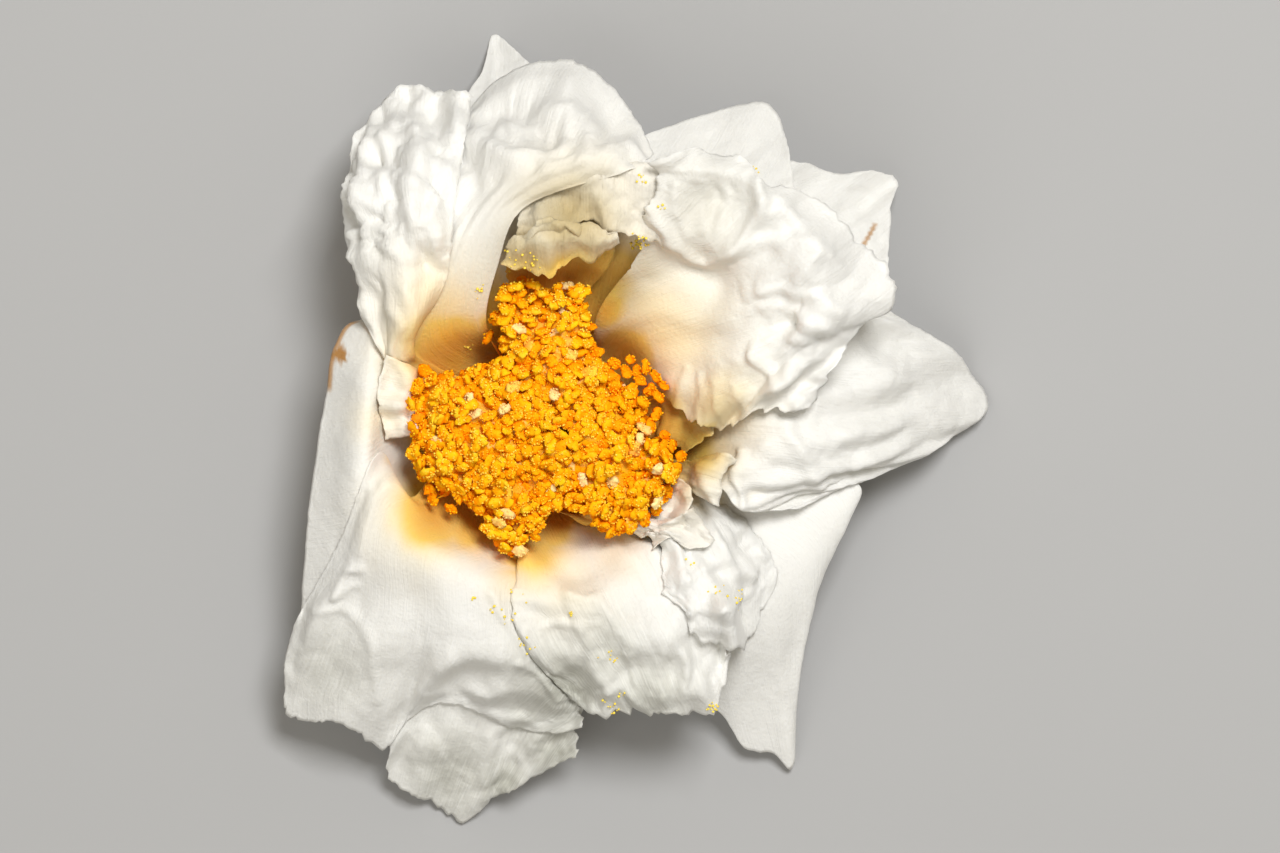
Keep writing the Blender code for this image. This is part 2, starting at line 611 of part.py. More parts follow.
def anther_places(heights):
    """Where the anthers sit: a spiral lattice over the head and two rows round its rim."""
    rng = np.random.default_rng(STAMEN_SEED)
    k = np.arange(4, 3 * ANTHERS)
    radius, turn = ANTHER_PITCH * np.sqrt(k), np.degrees(k * 2.39996) % 360
    share = radius / head_reach(turn)
    inside = share < 0.97
    radius, turn, share = radius[inside], turn[inside], share[inside]
    low = np.zeros(len(radius))
    for drop, count in ((1.2, 42), (2.9, 30)):
        rim = np.linspace(0, 360, count, endpoint=False) + 3 * drop
        radius = np.concatenate([radius, head_reach(rim) - 0.9])
        turn = np.concatenate([turn, rim])
        share = np.concatenate([share, np.ones(count)])
        low = np.concatenate([low, np.full(count, drop)])
    x = HEART[0] + radius * np.cos(np.radians(turn)) + rng.normal(0, 0.2, len(radius))
    y = HEART[1] + radius * np.sin(np.radians(turn)) + rng.normal(0, 0.2, len(radius))
    z = head_top(x, y, share) + 0.2 - low + rng.uniform(-0.4, 0.5, len(radius))
    floor = spread(heights.clearance(ANTHER_CLEAR), 1, np.max)
    middles = np.stack([x, y, z], axis=1)
    i, j = heights.cells(middles)
    middles[:, 2] = np.maximum(z, floor[i, j])
    return middles, rng


def united(core, parts):
    """The core joined with every part into one closed body; loose scraps are dropped."""
    group = bpy.data.collections.new("repeats")
    bpy.context.scene.collection.children.link(group)
    for index, (points, faces) in enumerate(parts):
        mesh = bpy.data.meshes.new(f"repeat_{index}")
        mesh.from_pydata((np.asarray(points) * MM).tolist(), [], faces)
        group.objects.link(bpy.data.objects.new(mesh.name, mesh))
    join = core.modifiers.new("join", "BOOLEAN")
    join.operation = "UNION"
    join.operand_type = "COLLECTION"
    join.collection = group
    join.solver = "MANIFOLD"
    graph = bpy.context.evaluated_depsgraph_get()
    whole = bpy.data.meshes.new_from_object(core.evaluated_get(graph))
    core.modifiers.remove(join)
    for obj in list(group.objects):
        bpy.data.objects.remove(obj, do_unlink=True)
    bpy.data.collections.remove(group)
    core.data = whole
    shape = bmesh.new()
    shape.from_mesh(whole)
    seen, largest = set(), set()
    for first in shape.verts:
        todo, island = [first], set()
        while todo:
            vert = todo.pop()
            if vert not in seen:
                seen.add(vert)
                island.add(vert)
                todo += [edge.other_vert(vert) for edge in vert.link_edges]
        largest = max(largest, island, key=len)
    scraps = [vert for vert in shape.verts if vert not in largest]
    bmesh.ops.delete(shape, geom=scraps, context="VERTS")
    bmesh.ops.triangulate(shape, faces=shape.faces[:])
    shape.to_mesh(whole)
    shape.free()


def add_stamens(heights):
    """The golden head: the core of filaments with the anthers crowded over it."""
    points, faces = head_core(heights)
    core = add_object("stamens", points, faces, "anther_gold")
    middles, rng = anther_places(heights)
    parts = []
    for middle in middles:
        out = middle - (HEART[0], HEART[1], HEAD_TOP - 22)
        up = out / np.linalg.norm(out) + rng.normal(0, 0.35, 3)
        along = np.cross(up, rng.normal(0, 1, 3)) + 0.3 * up
        along /= np.linalg.norm(along)
        parts.append(anther(middle + (SHIFT[0], SHIFT[1], 0), along, up))
    united(core, parts)


def add_pistil():
    """The ovary on the receptacle, and its slim style with a three-lobed tip."""
    points, faces = lathe(PISTIL_PROFILE, 12, HEART, 0.35)
    add_object("pistil", points, faces, "pistil_green")


def main():
    clear_scene()
    heights = HeightMap()
    add_receptacle()
    add_sepals(heights)
    add_petals(heights)
    add_stamens(heights)
    add_pistil()


main()
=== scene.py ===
"""A large white camellia flower, picked and resting on its back, open side up.

Every petal is a thin closed sheet lofted through a few rows of control points, base
first, then folded, crumpled and frilled along its veins and settled onto the petals
below it. The head is a mass of filaments with two-lobed anthers crowded over it.
"""

import math

import bmesh
import bpy
import numpy as np
from bpy.props import FloatProperty, FloatVectorProperty, IntProperty, PointerProperty
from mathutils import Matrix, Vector


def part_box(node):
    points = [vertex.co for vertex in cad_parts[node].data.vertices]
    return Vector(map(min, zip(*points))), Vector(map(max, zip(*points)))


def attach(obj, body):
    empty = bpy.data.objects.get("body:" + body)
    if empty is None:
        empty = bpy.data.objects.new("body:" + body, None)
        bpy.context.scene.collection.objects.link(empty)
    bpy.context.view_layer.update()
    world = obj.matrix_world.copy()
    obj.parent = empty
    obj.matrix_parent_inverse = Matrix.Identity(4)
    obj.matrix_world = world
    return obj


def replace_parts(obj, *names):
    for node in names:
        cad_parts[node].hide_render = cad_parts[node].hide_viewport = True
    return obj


bl_info = {
    "name": "White camellia flower",
    "version": (1, 0, 0),
    "blender": (4, 5, 0),
    "location": "View3D > Sidebar > Camellia",
    "description": "Builds the petals, stamens, pistil and calyx of a picked white camellia",
    "category": "Add Mesh",
}

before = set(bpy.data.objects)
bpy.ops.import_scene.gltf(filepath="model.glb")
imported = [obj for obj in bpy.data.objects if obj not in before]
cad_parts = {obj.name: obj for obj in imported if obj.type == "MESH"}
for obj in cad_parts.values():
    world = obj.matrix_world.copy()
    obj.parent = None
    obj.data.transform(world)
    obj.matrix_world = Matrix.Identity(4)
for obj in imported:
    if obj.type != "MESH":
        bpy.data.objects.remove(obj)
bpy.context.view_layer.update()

# Every length below is in mm and every direction in degrees, unless it says otherwise.
MM = 0.001
HEART = (-13.4, 0.0)  # axis of the receptacle in the design's own plan
_low, _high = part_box("receptacle")
SHIFT = ((_low.x + _high.x) / 2 / MM - HEART[0], (_low.y + _high.y) / 2 / MM - HEART[1])

# Sheets
STEPS_PER_POINT = 40  # fine steps that a curve is measured by
SPACING = 0.6  # between neighbouring points of a petal
MOST_ALONG, MOST_ACROSS = 130, 150  # most points along and across a petal
CLEAR = 0.55  # least distance between the middles of two neighbouring petals
HUG_CLEAR = 0.45 * CLEAR  # the same where a margin hugs the petal below it
SETTLE_ROUNDS = 10  # most times that a petal is raised off the ones below it
TOUCHES = 0.02  # a petal that lies this little too low is left there
LOWEST = 0.3  # height of the middle of the tips that touch the surface
CELL = 0.4  # side of a cell of the height map
MAP_HALF = 75.0  # half the side of the height map
EMPTY = -50.0  # height of a cell of the map that nothing reaches over
NOISE_CELLS = 64  # cells before the gradient noise repeats

# Relief of a petal
FOLD_RADIUS = 26  # distance from their centre where folds are as wide as LOOKS says
KNOT_HEIGHT = 0.7  # added crumples at a place of KNOTS of strength 1
FINE_SHARE, FINE_SIZE = 0.28, 3  # fine crumples: share of the height, times smaller
SHEER_HEIGHT = 0.45  # crinkles of sheer tissue
SKIN_HEIGHT, SKIN_SIZE = 0.07, 1.7  # finest unevenness of the outer part
WANDER, WANDER_SIZE = 1.1, 5  # how far, and over what length, single ridges stray
SIDE_TEETH = 0.3  # share of the teeth on the right side where LOOKS names none
HELD = 0.75  # share of the sideways shift that the margin is kept from

# Colour of a petal
# The amber near the heart is partly the base's own colour and partly painted glow and shade
GLOW_REACH = (26, 40)  # from the heart: the amber base fades out between these
RAGGED, RAGGED_SIZE = 2.5, 9  # unevenness of the borders of coloured places
TEAR = (37.8, 30.5, 40, 34.3)  # a torn line on the outer upper right petal, end to end
DRIED = (-49, 12.5)  # dried tip of the outer left petal

# Receptacle, pistil and sepals
SEAT_OFF = 0.6  # from the receptacle's cone to the middle of a petal's base
CONE_NORMAL = (0.93, 0.37)  # of that cone, outwards and upwards
# Rings on the receptacle where petals are seated: radius and height of its surface
RINGS = {1: (6.2, 3.2), 2: (5.5, 5.0), 3: (4.8, 6.8), 4: (4.1, 8.4)}
RECEPTACLE_PROFILE = ((0.0, 0.0), (2.6, 0.0), (3.0, 0.12), (4.0, 0.35), (5.2, 0.9), (6.0, 1.5),
                      (6.3, 2.0), (6.2, 3.2), (5.5, 5.0), (4.8, 6.8), (4.1, 8.4), (3.4, 9.5),
                      (2.0, 9.75), (0.0, 9.8))
PISTIL_PROFILE = ((0.0, 9.85), (1.3, 9.9), (1.8, 11), (1.75, 12.5), (1.2, 14.2), (0.6, 15.5),
                  (0.5, 22), (0.5, 29.5), (0.9, 31.2), (1.1, 31.8), (0.7, 32.2), (0.0, 32.1))
SEPALS = 5
SEPAL_FOOT = 6.55  # from the axis to the sepals' feet
SEPAL_LENGTH = 10.5
SEPAL_WIDTH = 8.5
SEPAL_THICK = 0.9
SEPAL_POINTS = (44, 36)  # along and across

# Stamen head
HEAD_TOP = 35.0
HEAD_DROP = 3.5  # from the middle of the head to its rim
HEAD_SEED = 31
CORE_SIDES = 144
CORE_INSET = 1.9  # from the head's outline to the mass of filaments
CORE_CLEAR = 0.9  # least distance to the petals below it
# Shares of the outline where its rings lie, on the underside and back in over the top
CORE_UNDER = (0.45, 0.6, 0.75, 0.88, 1.0)
CORE_OVER = (0.98, 0.9, 0.8, 0.7, 0.6, 0.5, 0.4, 0.3, 0.22)
CORE_SINK = 0.8  # how far the mass of filaments lies below the crowns of the anthers
TUBE_RADIUS = 3.4  # of the tube that the filaments form at their feet
TUBE_BORE = 2.2
TUBE_FOOT = 10.0
TUBE_TOP = 18  # where the tube opens into single filaments
LATTICE_COUNT = 1400  # places of the spiral of anthers, those past the outline unused
LATTICE_PITCH = 0.86  # radius of the spiral grows by this times the root of the count
GOLDEN_TURN = 2.39996  # radians between neighbours in the spiral
LAYERS = ((0.0, 0.8, 1.5), (0.45, 0.3, 0.25))  # depths of the anthers and their shares
RIM_ROWS = ((1.0, 64), (2.4, 56), (3.9, 44))  # depth and number of anthers round the rim
ANTHER_SIDES, ANTHER_RINGS = 10, 8
KNOBS = 0.13  # unevenness of an anther
FAN_DEPTH = 22  # below the crown, where the anthers' outward directions meet
CRUMBS = 9500  # crumbs of pollen on the anthers
FILAMENT_FOOT = 3.2  # from the axis to the feet of the single filaments
FILAMENT_RADIUS, FILAMENT_SIDES, FILAMENT_STEPS = 0.24, 5, 9

# Stage, in m apart from VIEW_MIDDLE
KEY_AT, KEY_SIZE = (0.18, 0.33, 0.92), 0.30
FILL_AT, FILL_SIZE, FILL_SHARE = (-0.35, -0.55, 1.0), 0.9, 0.4  # share of the key's power
SKY, SKY_STRENGTH = (1, 0.92, 0.76, 1), 0.31
VIEW_WIDTH, VIEW_LEVEL = 0.2112, 0.030  # the view is this wide at this height
VIEW_MIDDLE = (0.66, 0.58)  # the camera's place in the design's own plan

# name: ring, direction and width of the base, rows across the calyx of points (x, y, z)
# in mm from the base to the margin, each from the left side to the right side as seen
# from the heart, then height and number of the ruffles, height and length of the uneven
# waves, and the seed of all that is random in it
PETALS = {
    "petal_outer_top": dict(
        seat=(1, 100, 4.6),
        rows=(
            ((-22.5, 11.5, 9.5), (-16.5, 13, 8.7), (-11, 12.3, 8.8)),
            ((-30, 31, 20), (-18, 35, 21.5), (-6, 33, 20)),
            ((-33, 48, 15), (-28.5, 56.5, 9), (-25.8, 61, 5), (-24.2, 67.2, -1.5),
             (-19.5, 63.5, 4), (-14, 58, 9), (-7, 51, 14), (-2, 43, 19)),
        ),
        ruffle=(0.5, 4), crumple=(0.4, 16), seed=2),
    "petal_outer_upper_right": dict(
        seat=(1, 30, 4.6),
        rows=(
            ((-4.5, 9.8, 8.8), (-2, 6.5, 8.5), (-0.8, 2.5, 8.8)),
            ((9, 28, 21.5), (17, 20, 22), (21, 9, 21)),
            ((22, 45, 15), (28.5, 45, 12), (34, 43.3, 10), (41, 43.6, 7), (44.2, 42.3, 6),
             (43.2, 38, 9), (42.7, 32, 12), (42, 26, 14), (40, 15, 17)),
        ),
        ruffle=(0.8, 5), crumple=(0.4, 14), seed=4),
    "petal_outer_lower_right": dict(
        seat=(1, -48, 4.6),
        rows=(
            ((-1.3, -5.5, 8.8), (-4.5, -9.5, 8.5), (-9, -12, 8.8)),
            ((16, -9, 19.5), (8, -19, 19), (-3, -24, 17.5)),
            ((36.8, -8.5, 20), (26, -24, 20), (13, -33, 19), (2, -36, 16)),
            ((30.5, -22, 15.5), (27.6, -33, 11), (26.8, -44, 7.5), (26.9, -51, 4), (26.2, -57.6, 1),
             (23.4, -55, 3), (18.5, -54, 4.5), (14, -47.5, 7.5), (8, -45, 9), (1, -42, 11)),
        ),
        ruffle=(0.3, 4), crumple=(0.3, 18), seed=7),
    "petal_outer_bottom": dict(
        seat=(1, -105, 4.6),
        rows=(
            ((-12, -12.8, 8.8), (-16.5, -12.6, 8.5), (-20.5, -10.8, 8.8)),
            ((-8, -34, 19), (-21, -37, 20), (-33, -32, 19)),
            ((-9.5, -55, 12), (-16.5, -58.5, 9), (-20.5, -61, 6), (-24, -62.5, 3.5),
             (-29.5, -67, 0.4), (-36, -63, 3), (-42, -59.5, 6), (-41.5, -53, 10),
             (-40, -46, 15)),
        ),
        ruffle=(0.8, 5), crumple=(0.4, 13), seed=10),
    "petal_outer_left": dict(
        seat=(1, 186, 4.6),
        rows=(
            ((-25, -5, 8.8), (-26, -1.2, 8.5), (-25, 3, 8.8)),
            ((-34, -10, 17), (-35.5, -1, 16.5), (-33, 9, 17)),
            ((-41, -16, 27), (-42, -4, 28.5), (-39.5, 12.5, 27)),
            ((-46, -22, 27.5), (-45, -6, 33), (-43, 15.5, 30.5)),
            ((-56, -31, 18), (-55.3, -22, 20.5), (-54, -10, 24), (-51.2, 8, 25),
             (-50.2, 13.5, 25.7), (-47.8, 17.6, 26), (-45.2, 18.3, 26.3)),
        ),
        ruffle=(0.3, 4), crumple=(0.3, 16), seed=11),
    "petal_middle_top": dict(
        seat=(2, 66, 4.4),
        rows=(
            ((-11, 12.7, 11), (-8, 11.8, 10.7), (-4.5, 9.6, 11)),
            ((-7, 31, 22.5), (4, 31, 24), (12, 26, 22.5)),
            ((-8, 45, 18), (1, 49.3, 14), (10, 52.6, 11), (18.5, 55, 8), (22.5, 54.7, 8),
             (24.8, 51, 11), (26, 45, 15), (27, 37, 21)),
        ),
        ruffle=(0.6, 5), crumple=(0.4, 15), seed=3),
    "petal_right": dict(
        seat=(2, -3, 4.4),
        rows=(
            ((-1, 3.5, 11), (-0.4, -0.7, 10.7), (-1.2, -4.8, 11)),
            ((8, 7, 19.5), (9, 0, 20), (7, -7, 20)),
            ((24, 12, 28), (24, 3, 31), (20, -5, 31.5), (14, -9.5, 29)),
            ((34, 17, 24), (38, 6, 24), (33, -4, 27), (25, -9.5, 28.5), (17, -13, 28.5)),
            ((41, 20.5, 17), (50.5, 15.6, 9), (55.7, 11.3, 4), (59.7, 4.3, 0.4),
             (54, -1.2, 6), (46, -5.5, 12), (37, -8.8, 18), (27, -13, 23)),
        ),
        ruffle=(1.2, 5), crumple=(0.5, 12), seed=6),
    "petal_lower_left": dict(
        seat=(2, -138, 4.4),
        rows=(
            ((-18.5, -12, 11), (-22.5, -9, 10.7), (-25.3, -5, 11)),
            ((-18.5, -18, 18.3), (-26.5, -13.5, 18), (-32.5, -6, 18.8)),
            ((-16.5, -22.5, 25), (-29, -18, 28), (-37.5, -11, 29.5)),
            ((-14, -28, 28.5), (-28.5, -23.5, 33), (-39.5, -15, 33.5), (-42, -3.5, 35)),
            ((-11, -40, 26), (-27, -36, 29.5), (-44, -29, 28), (-49, -18, 31)),
            ((-8, -49.5, 19), (-14, -51, 18), (-20, -50.5, 18.5), (-26, -47.5, 20),
             (-33, -46, 21), (-38.5, -49, 17), (-43, -54.5, 12), (-49, -49.5, 14),
             (-58.5, -48.5, 11), (-59, -41, 14), (-57.5, -33, 18)),
        ),
        ruffle=(1.0, 5), crumple=(0.5, 15), seed=9),
    "petal_upper_left_fan": dict(
        seat=(2, 134, 4.4),
        rows=(
            ((-24.5, 7.5, 11), (-22, 9.8, 10.7), (-19, 11.8, 11)),
            ((-37, 12, 24), (-31, 16.5, 26.5), (-24.7, 17.5, 27)),
            ((-36, 21, 32), (-29.5, 25.5, 34.5), (-22.8, 26.5, 35.5)),
            ((-33, 33, 34.5), (-25, 35.5, 38.5), (-18, 36.5, 40.5)),
            ((-33, 42, 31.5), (-24.5, 44, 36), (-14, 44.5, 41.5), (-2, 42, 42.5)),
            ((-29.5, 51, 20), (-24, 58, 19), (-17, 61, 20), (-11, 62, 22), (-5, 58.5, 23),
             (-0.3, 52, 27), (3, 45.3, 35)),
        ),
        ruffle=(0.6, 5), crumple=(0.9, 13), seed=12),
    "petal_left_fan": dict(
        seat=(3, 156, 4),
        rows=(
            ((-25.8, 3.5, 13.2), (-25.3, 5.3, 13), (-24.4, 7, 13.4)),
            ((-35, 7.2, 21), (-34.6, 9, 21.3), (-33.4, 10.6, 21.6)),
            ((-43, 14, 32), (-40, 11.8, 32.5), (-36.8, 14.2, 32)),
            ((-46.3, 24, 30), (-40, 24, 37), (-31, 24.5, 37.5)),
            ((-48.7, 37, 27), (-45, 38, 34), (-38, 39, 38.5), (-29.5, 36, 38)),
            ((-47.7, 46, 21), (-44.3, 52.5, 18.5), (-39.6, 57.5, 16.5), (-33, 57, 20),
             (-27, 56, 22.5)),
        ),
        ruffle=(0.9, 5), crumple=(1.1, 11), seed=1),
    "petal_upper_right_funnel": dict(
        seat=(3, 38, 4.2),
        rows=(
            ((-6.8, 11, 13.2), (-3.6, 8.2, 12.9), (-1.5, 4.8, 13.2)),
            ((-6, 20, 26.5), (1, 17.5, 28), (4.8, 5.5, 25)),
            ((0, 29, 35), (11, 22, 34), (8.3, 1.5, 30)),
            ((1, 36, 40.5), (14, 30, 39), (22, 18, 40), (13.8, -0.6, 32.5)),
            ((3, 41.5, 43.5), (16, 38, 43), (26, 31, 45), (29, 17, 43), (19.5, 2.2, 36)),
            ((1.5, 43.5, 44), (10.5, 46.5, 44), (14, 45, 42), (17.5, 45.5, 42),
             (21, 40.5, 43), (26, 40, 41), (32, 37, 39), (36.5, 31.5, 38), (41, 28.5, 36),
             (42.6, 25, 35), (42.2, 20, 34), (38.5, 18, 35), (34, 12, 36),
             (31, 6.5, 37), (28, 2.6, 36.5)),
        ),
        ruffle=(0.9, 5), crumple=(0.8, 13), seed=5),
    "petal_bottom_inner": dict(
        seat=(3, -88, 4),
        rows=(
            ((-9, -12, 13.2), (-12.5, -12.9, 12.9), (-16.3, -12.6, 13.2)),
            ((-2, -16, 19.5), (-8.5, -17, 19.3), (-18, -17, 19.5)),
            ((6, -20.5, 27.5), (-4, -22.5, 28), (-20, -23.5, 26.5)),
            ((14, -27, 30.5), (4, -31, 32), (-5, -31.5, 32), (-20.5, -32, 29.5)),
            ((16, -38, 27.5), (14.8, -43, 25.5), (13, -47.7, 23.5), (9, -48.2, 24),
             (4, -48.6, 24), (-1, -47.7, 23.5), (-6, -48.4, 22), (-11, -45.5, 21.5)),
        ),
        ruffle=(0.8, 5), crumple=(0.8, 11), seed=8),
    "petal_lower_right_inner": dict(
        seat=(3, -37, 3.4),
        rows=(
            ((-1.6, -5, 13.2), (-2.8, -7.5, 12.9), (-4.6, -9.7, 13.2)),
            ((6.5, -9.5, 21.5), (4, -12.5, 21.5), (0.5, -14.5, 22)),
            ((15.5, -12.5, 24.5), (9.5, -16.5, 28), (3.5, -19, 29)),
            ((21.5, -18.5, 21.5), (13.5, -24.5, 29), (4, -25, 31)),
            ((24, -24, 18), (21, -31, 19.5), (17.8, -36.8, 22), (13.5, -36.3, 25.5),
             (9.5, -34.5, 28.5), (8.2, -30.5, 30), (4, -26.8, 31.2)),
        ),
        ruffle=(0.6, 5), crumple=(0.8, 9), seed=13),
    "petaloid_top_back": dict(
        seat=(3, 88, 3),
        rows=(
            ((-17, 12.6, 13.2), (-13.2, 13, 12.9), (-9.6, 12.5, 13.2)),
            ((-19, 24, 21.5), (-12, 25.5, 21.5), (-3, 23, 21.5)),
            ((-20, 32.5, 31.5), (-11, 37, 32), (4, 33, 32)),
            ((-19, 36.5, 38), (-12, 41.5, 39.6), (-5, 43.8, 40.4), (6, 43, 40.2)),
            ((-20.4, 31.2, 38.4), (-16.5, 31, 39.4), (-12.5, 32, 40), (-7, 33.5, 40.4),
             (-4.6, 31.5, 40), (-1, 31.4, 39.8), (4.6, 29.5, 38)),
        ),
        ruffle=(0.3, 3), crumple=(0.5, 9), seed=14),
    "petaloid_top_front": dict(
        seat=(4, 102, 2.4),
        rows=(
            ((-18.5, 11.5, 15.6), (-16, 12.6, 15.4), (-13.2, 12.8, 15.6)),
            ((-20.5, 20, 22), (-15, 23.5, 22.8), (-8.5, 22, 22.5)),
            ((-22, 26.5, 28), (-14, 29.3, 29), (-4, 27.5, 28.5)),
            ((-21, 31, 36), (-14, 34.2, 37), (-3, 32.5, 36.5)),
            ((-22.6, 27, 37.2), (-19.8, 25.6, 37.6), (-17, 24.8, 37.8), (-13.6, 24.3, 37.8),
             (-12.2, 26, 38), (-10, 27.8, 38.2), (-7.5, 26.8, 38.6), (-5.5, 28.4, 38.6),
             (-2.5, 30.4, 38.4)),
        ),
        ruffle=(0.3, 3), crumple=(0.4, 8), seed=15),
    "petaloid_right": dict(
        seat=(4, 12, 2.4),
        rows=(
            ((-1.5, 5, 15.6), (-0.6, 2.2, 15.4), (-0.6, -0.8, 15.6)),
            ((4.5, 7, 23.5), (5.4, 2, 23), (4.8, -2.5, 23.5)),
            ((8, 6, 25.5), (8.8, 1.5, 26), (7, -3, 25.5)),
            ((14.5, 3, 28.5), (13.4, -0.6, 28.8), (10.6, -2.4, 28), (7.6, -4.4, 27)),
        ),
        ruffle=(0.3, 3), crumple=(0.3, 7), seed=16),
    "petaloid_right_curl": dict(
        seat=(4, -24, 1.8),
        rows=(
            ((-0.9, -3.4, 15.6), (-1.5, -5.2, 15.4), (-2.6, -6.9, 15.6)),
            ((8, -4.8, 25), (7.8, -7, 25), (6.5, -9, 25.5)),
            ((15.2, -3.6, 33.2), (12.4, -5.8, 34), (11.5, -9.4, 34.4), (12.8, -12.4, 34)),
            ((17, -5, 33), (14.8, -7.2, 33.6), (14.4, -9.6, 33.8), (13.8, -12.6, 33.4)),
        ),
        ruffle=(0.3, 3), crumple=(0.3, 6), seed=17),
    "petaloid_pale_upper": dict(
        seat=(4, -58, 1.8),
        rows=(
            ((-4.8, -9.6, 15.6), (-6.3, -10.8, 15.4), (-8, -11.7, 15.6)),
            ((3.5, -10.5, 24.5), (1.5, -13, 24.5), (-1, -14.5, 24.5)),
            ((7, -7.6, 31), (9.2, -9.6, 32.8), (9.3, -12.2, 33), (7.8, -14.6, 33),
             (3, -15.8, 31.5)),
        ),
        ruffle=(0.4, 3), crumple=(0.6, 5), seed=18),
    "petaloid_pale_lower": dict(
        seat=(4, -92, 1.8),
        rows=(
            ((-11, -12.6, 15.6), (-12.8, -12.9, 15.4), (-14.6, -12.8, 15.6)),
            ((-1, -14, 23.5), (-2.5, -15.3, 23.5), (-4, -16, 23.5)),
            ((5, -14.5, 29.5), (3.8, -16.5, 29.5), (2, -17.6, 29)),
            ((9.2, -12.6, 34), (11.5, -15.3, 34.8), (13.4, -18.6, 34.4), (9, -19.4, 34.2),
             (6, -17.8, 34), (2.6, -20, 33)),
        ),
        ruffle=(0.4, 3), crumple=(0.6, 5), seed=19),
    "petaloid_left": dict(
        seat=(4, 172, 2.2),
        rows=(
            ((-26.2, -0.8, 15.6), (-26.3, 1.6, 15.4), (-26, 4, 15.6)),
            ((-33, -0.8, 22.5), (-33.5, 4, 22.5), (-32.5, 7.5, 23)),
            ((-37, -1, 30.5), (-37.4, 5, 31.5), (-36.4, 10.3, 31)),
            ((-41.5, -2, 32), (-42.8, 6, 33.5), (-41.3, 12.6, 33)),
        ),
        ruffle=(0.5, 3), crumple=(0.5, 7), seed=20),
}

# Finish of each petal, in mm: folds that run out from a centre (height, width, share of
# the length where they start), crumples (height, size), frill of the margin (height,
# width), teeth (depth, pitch and, where it isn't SIDE_TEETH, the share of the depth on the
# right side), and the heights between which the amber base turns white; the amber lower
# down is partly the base's own colour and partly painted glow and shade
LOOKS = {
    "petal_outer_top": ((0.35, 8, 0.5), (0.3, 6), (0.3, 4), (0.3, 3), (12, 26)),
    "petal_outer_upper_right": ((0.4, 8, 0.5), (0.35, 6), (0.3, 4), (0.45, 4), (12, 26)),
    "petal_outer_lower_right": ((0.15, 9, 0.6), (0.1, 8), (0.12, 5), (0.25, 3), (12, 24)),
    "petal_outer_bottom": ((0.6, 8, 0.45), (0.3, 7), (0.4, 4), (1.2, 3), (12, 24)),
    "petal_outer_left": ((0.15, 9, 0.5), (0.12, 8), (0.15, 5), (0.2, 4), (12, 26)),
    "petal_middle_top": ((0.2, 9, 0.5), (0.2, 8), (0.2, 5), (0.35, 4), (12, 28)),
    "petal_right": ((0.55, 5, 0.45), (0.25, 7), (0.3, 3), (0.4, 3), (19, 31)),
    "petal_lower_left": ((0.4, 6, 0.6), (0.2, 8), (0.5, 4), (0.9, 2.4), (22, 32)),
    "petal_upper_left_fan": ((0.6, 6, 0.72), (0.45, 8), (0.4, 3), (0.6, 2.4), (11, 23)),
    "petal_left_fan": ((0.6, 5, 0.45), (1.5, 8), (0.4, 2.6), (1.0, 2.8), (22, 32)),
    "petal_upper_right_funnel": ((0.5, 6, 0.6), (0.3, 8), (0.4, 3.5), (1.0, 3, 1.4), (10, 22)),
    "petal_bottom_inner": ((0.8, 6, 0.5), (0.5, 8), (0.5, 3), (1.9, 3.6), (12, 21)),
    "petal_lower_right_inner": ((0.4, 6, 0.4), (0.5, 5), (0.4, 3), (1.0, 3.6, 0.6), (12, 24)),
    "petaloid_top_back": ((0.6, 5, 0.6), (0.7, 5), (0.3, 3), (0.9, 3), (30, 60)),
    "petaloid_top_front": ((0.6, 5, 0.6), (0.6, 5), (0.3, 3), (0.9, 3), (26, 56)),
    "petaloid_right": ((0.35, 3, 0.4), (0.1, 5), (0.2, 2.5), (1.0, 2.2), (22, 34)),
    "petaloid_right_curl": ((0.2, 4, 0.4), (0.3, 4), (0.2, 3), (0.5, 2.4), (20, 34)),
    "petaloid_pale_upper": ((0.3, 4, 0.4), (0.7, 3), (0.3, 3), (0.6, 2.4), (16, 27)),
    "petaloid_pale_lower": ((0.3, 4, 0.4), (0.7, 3.4), (0.3, 3), (0.6, 2.4), (16, 29)),
    "petaloid_left": ((0.3, 5, 0.4), (0.3, 5), (0.3, 4), (0.4, 3), (18, 30)),
}
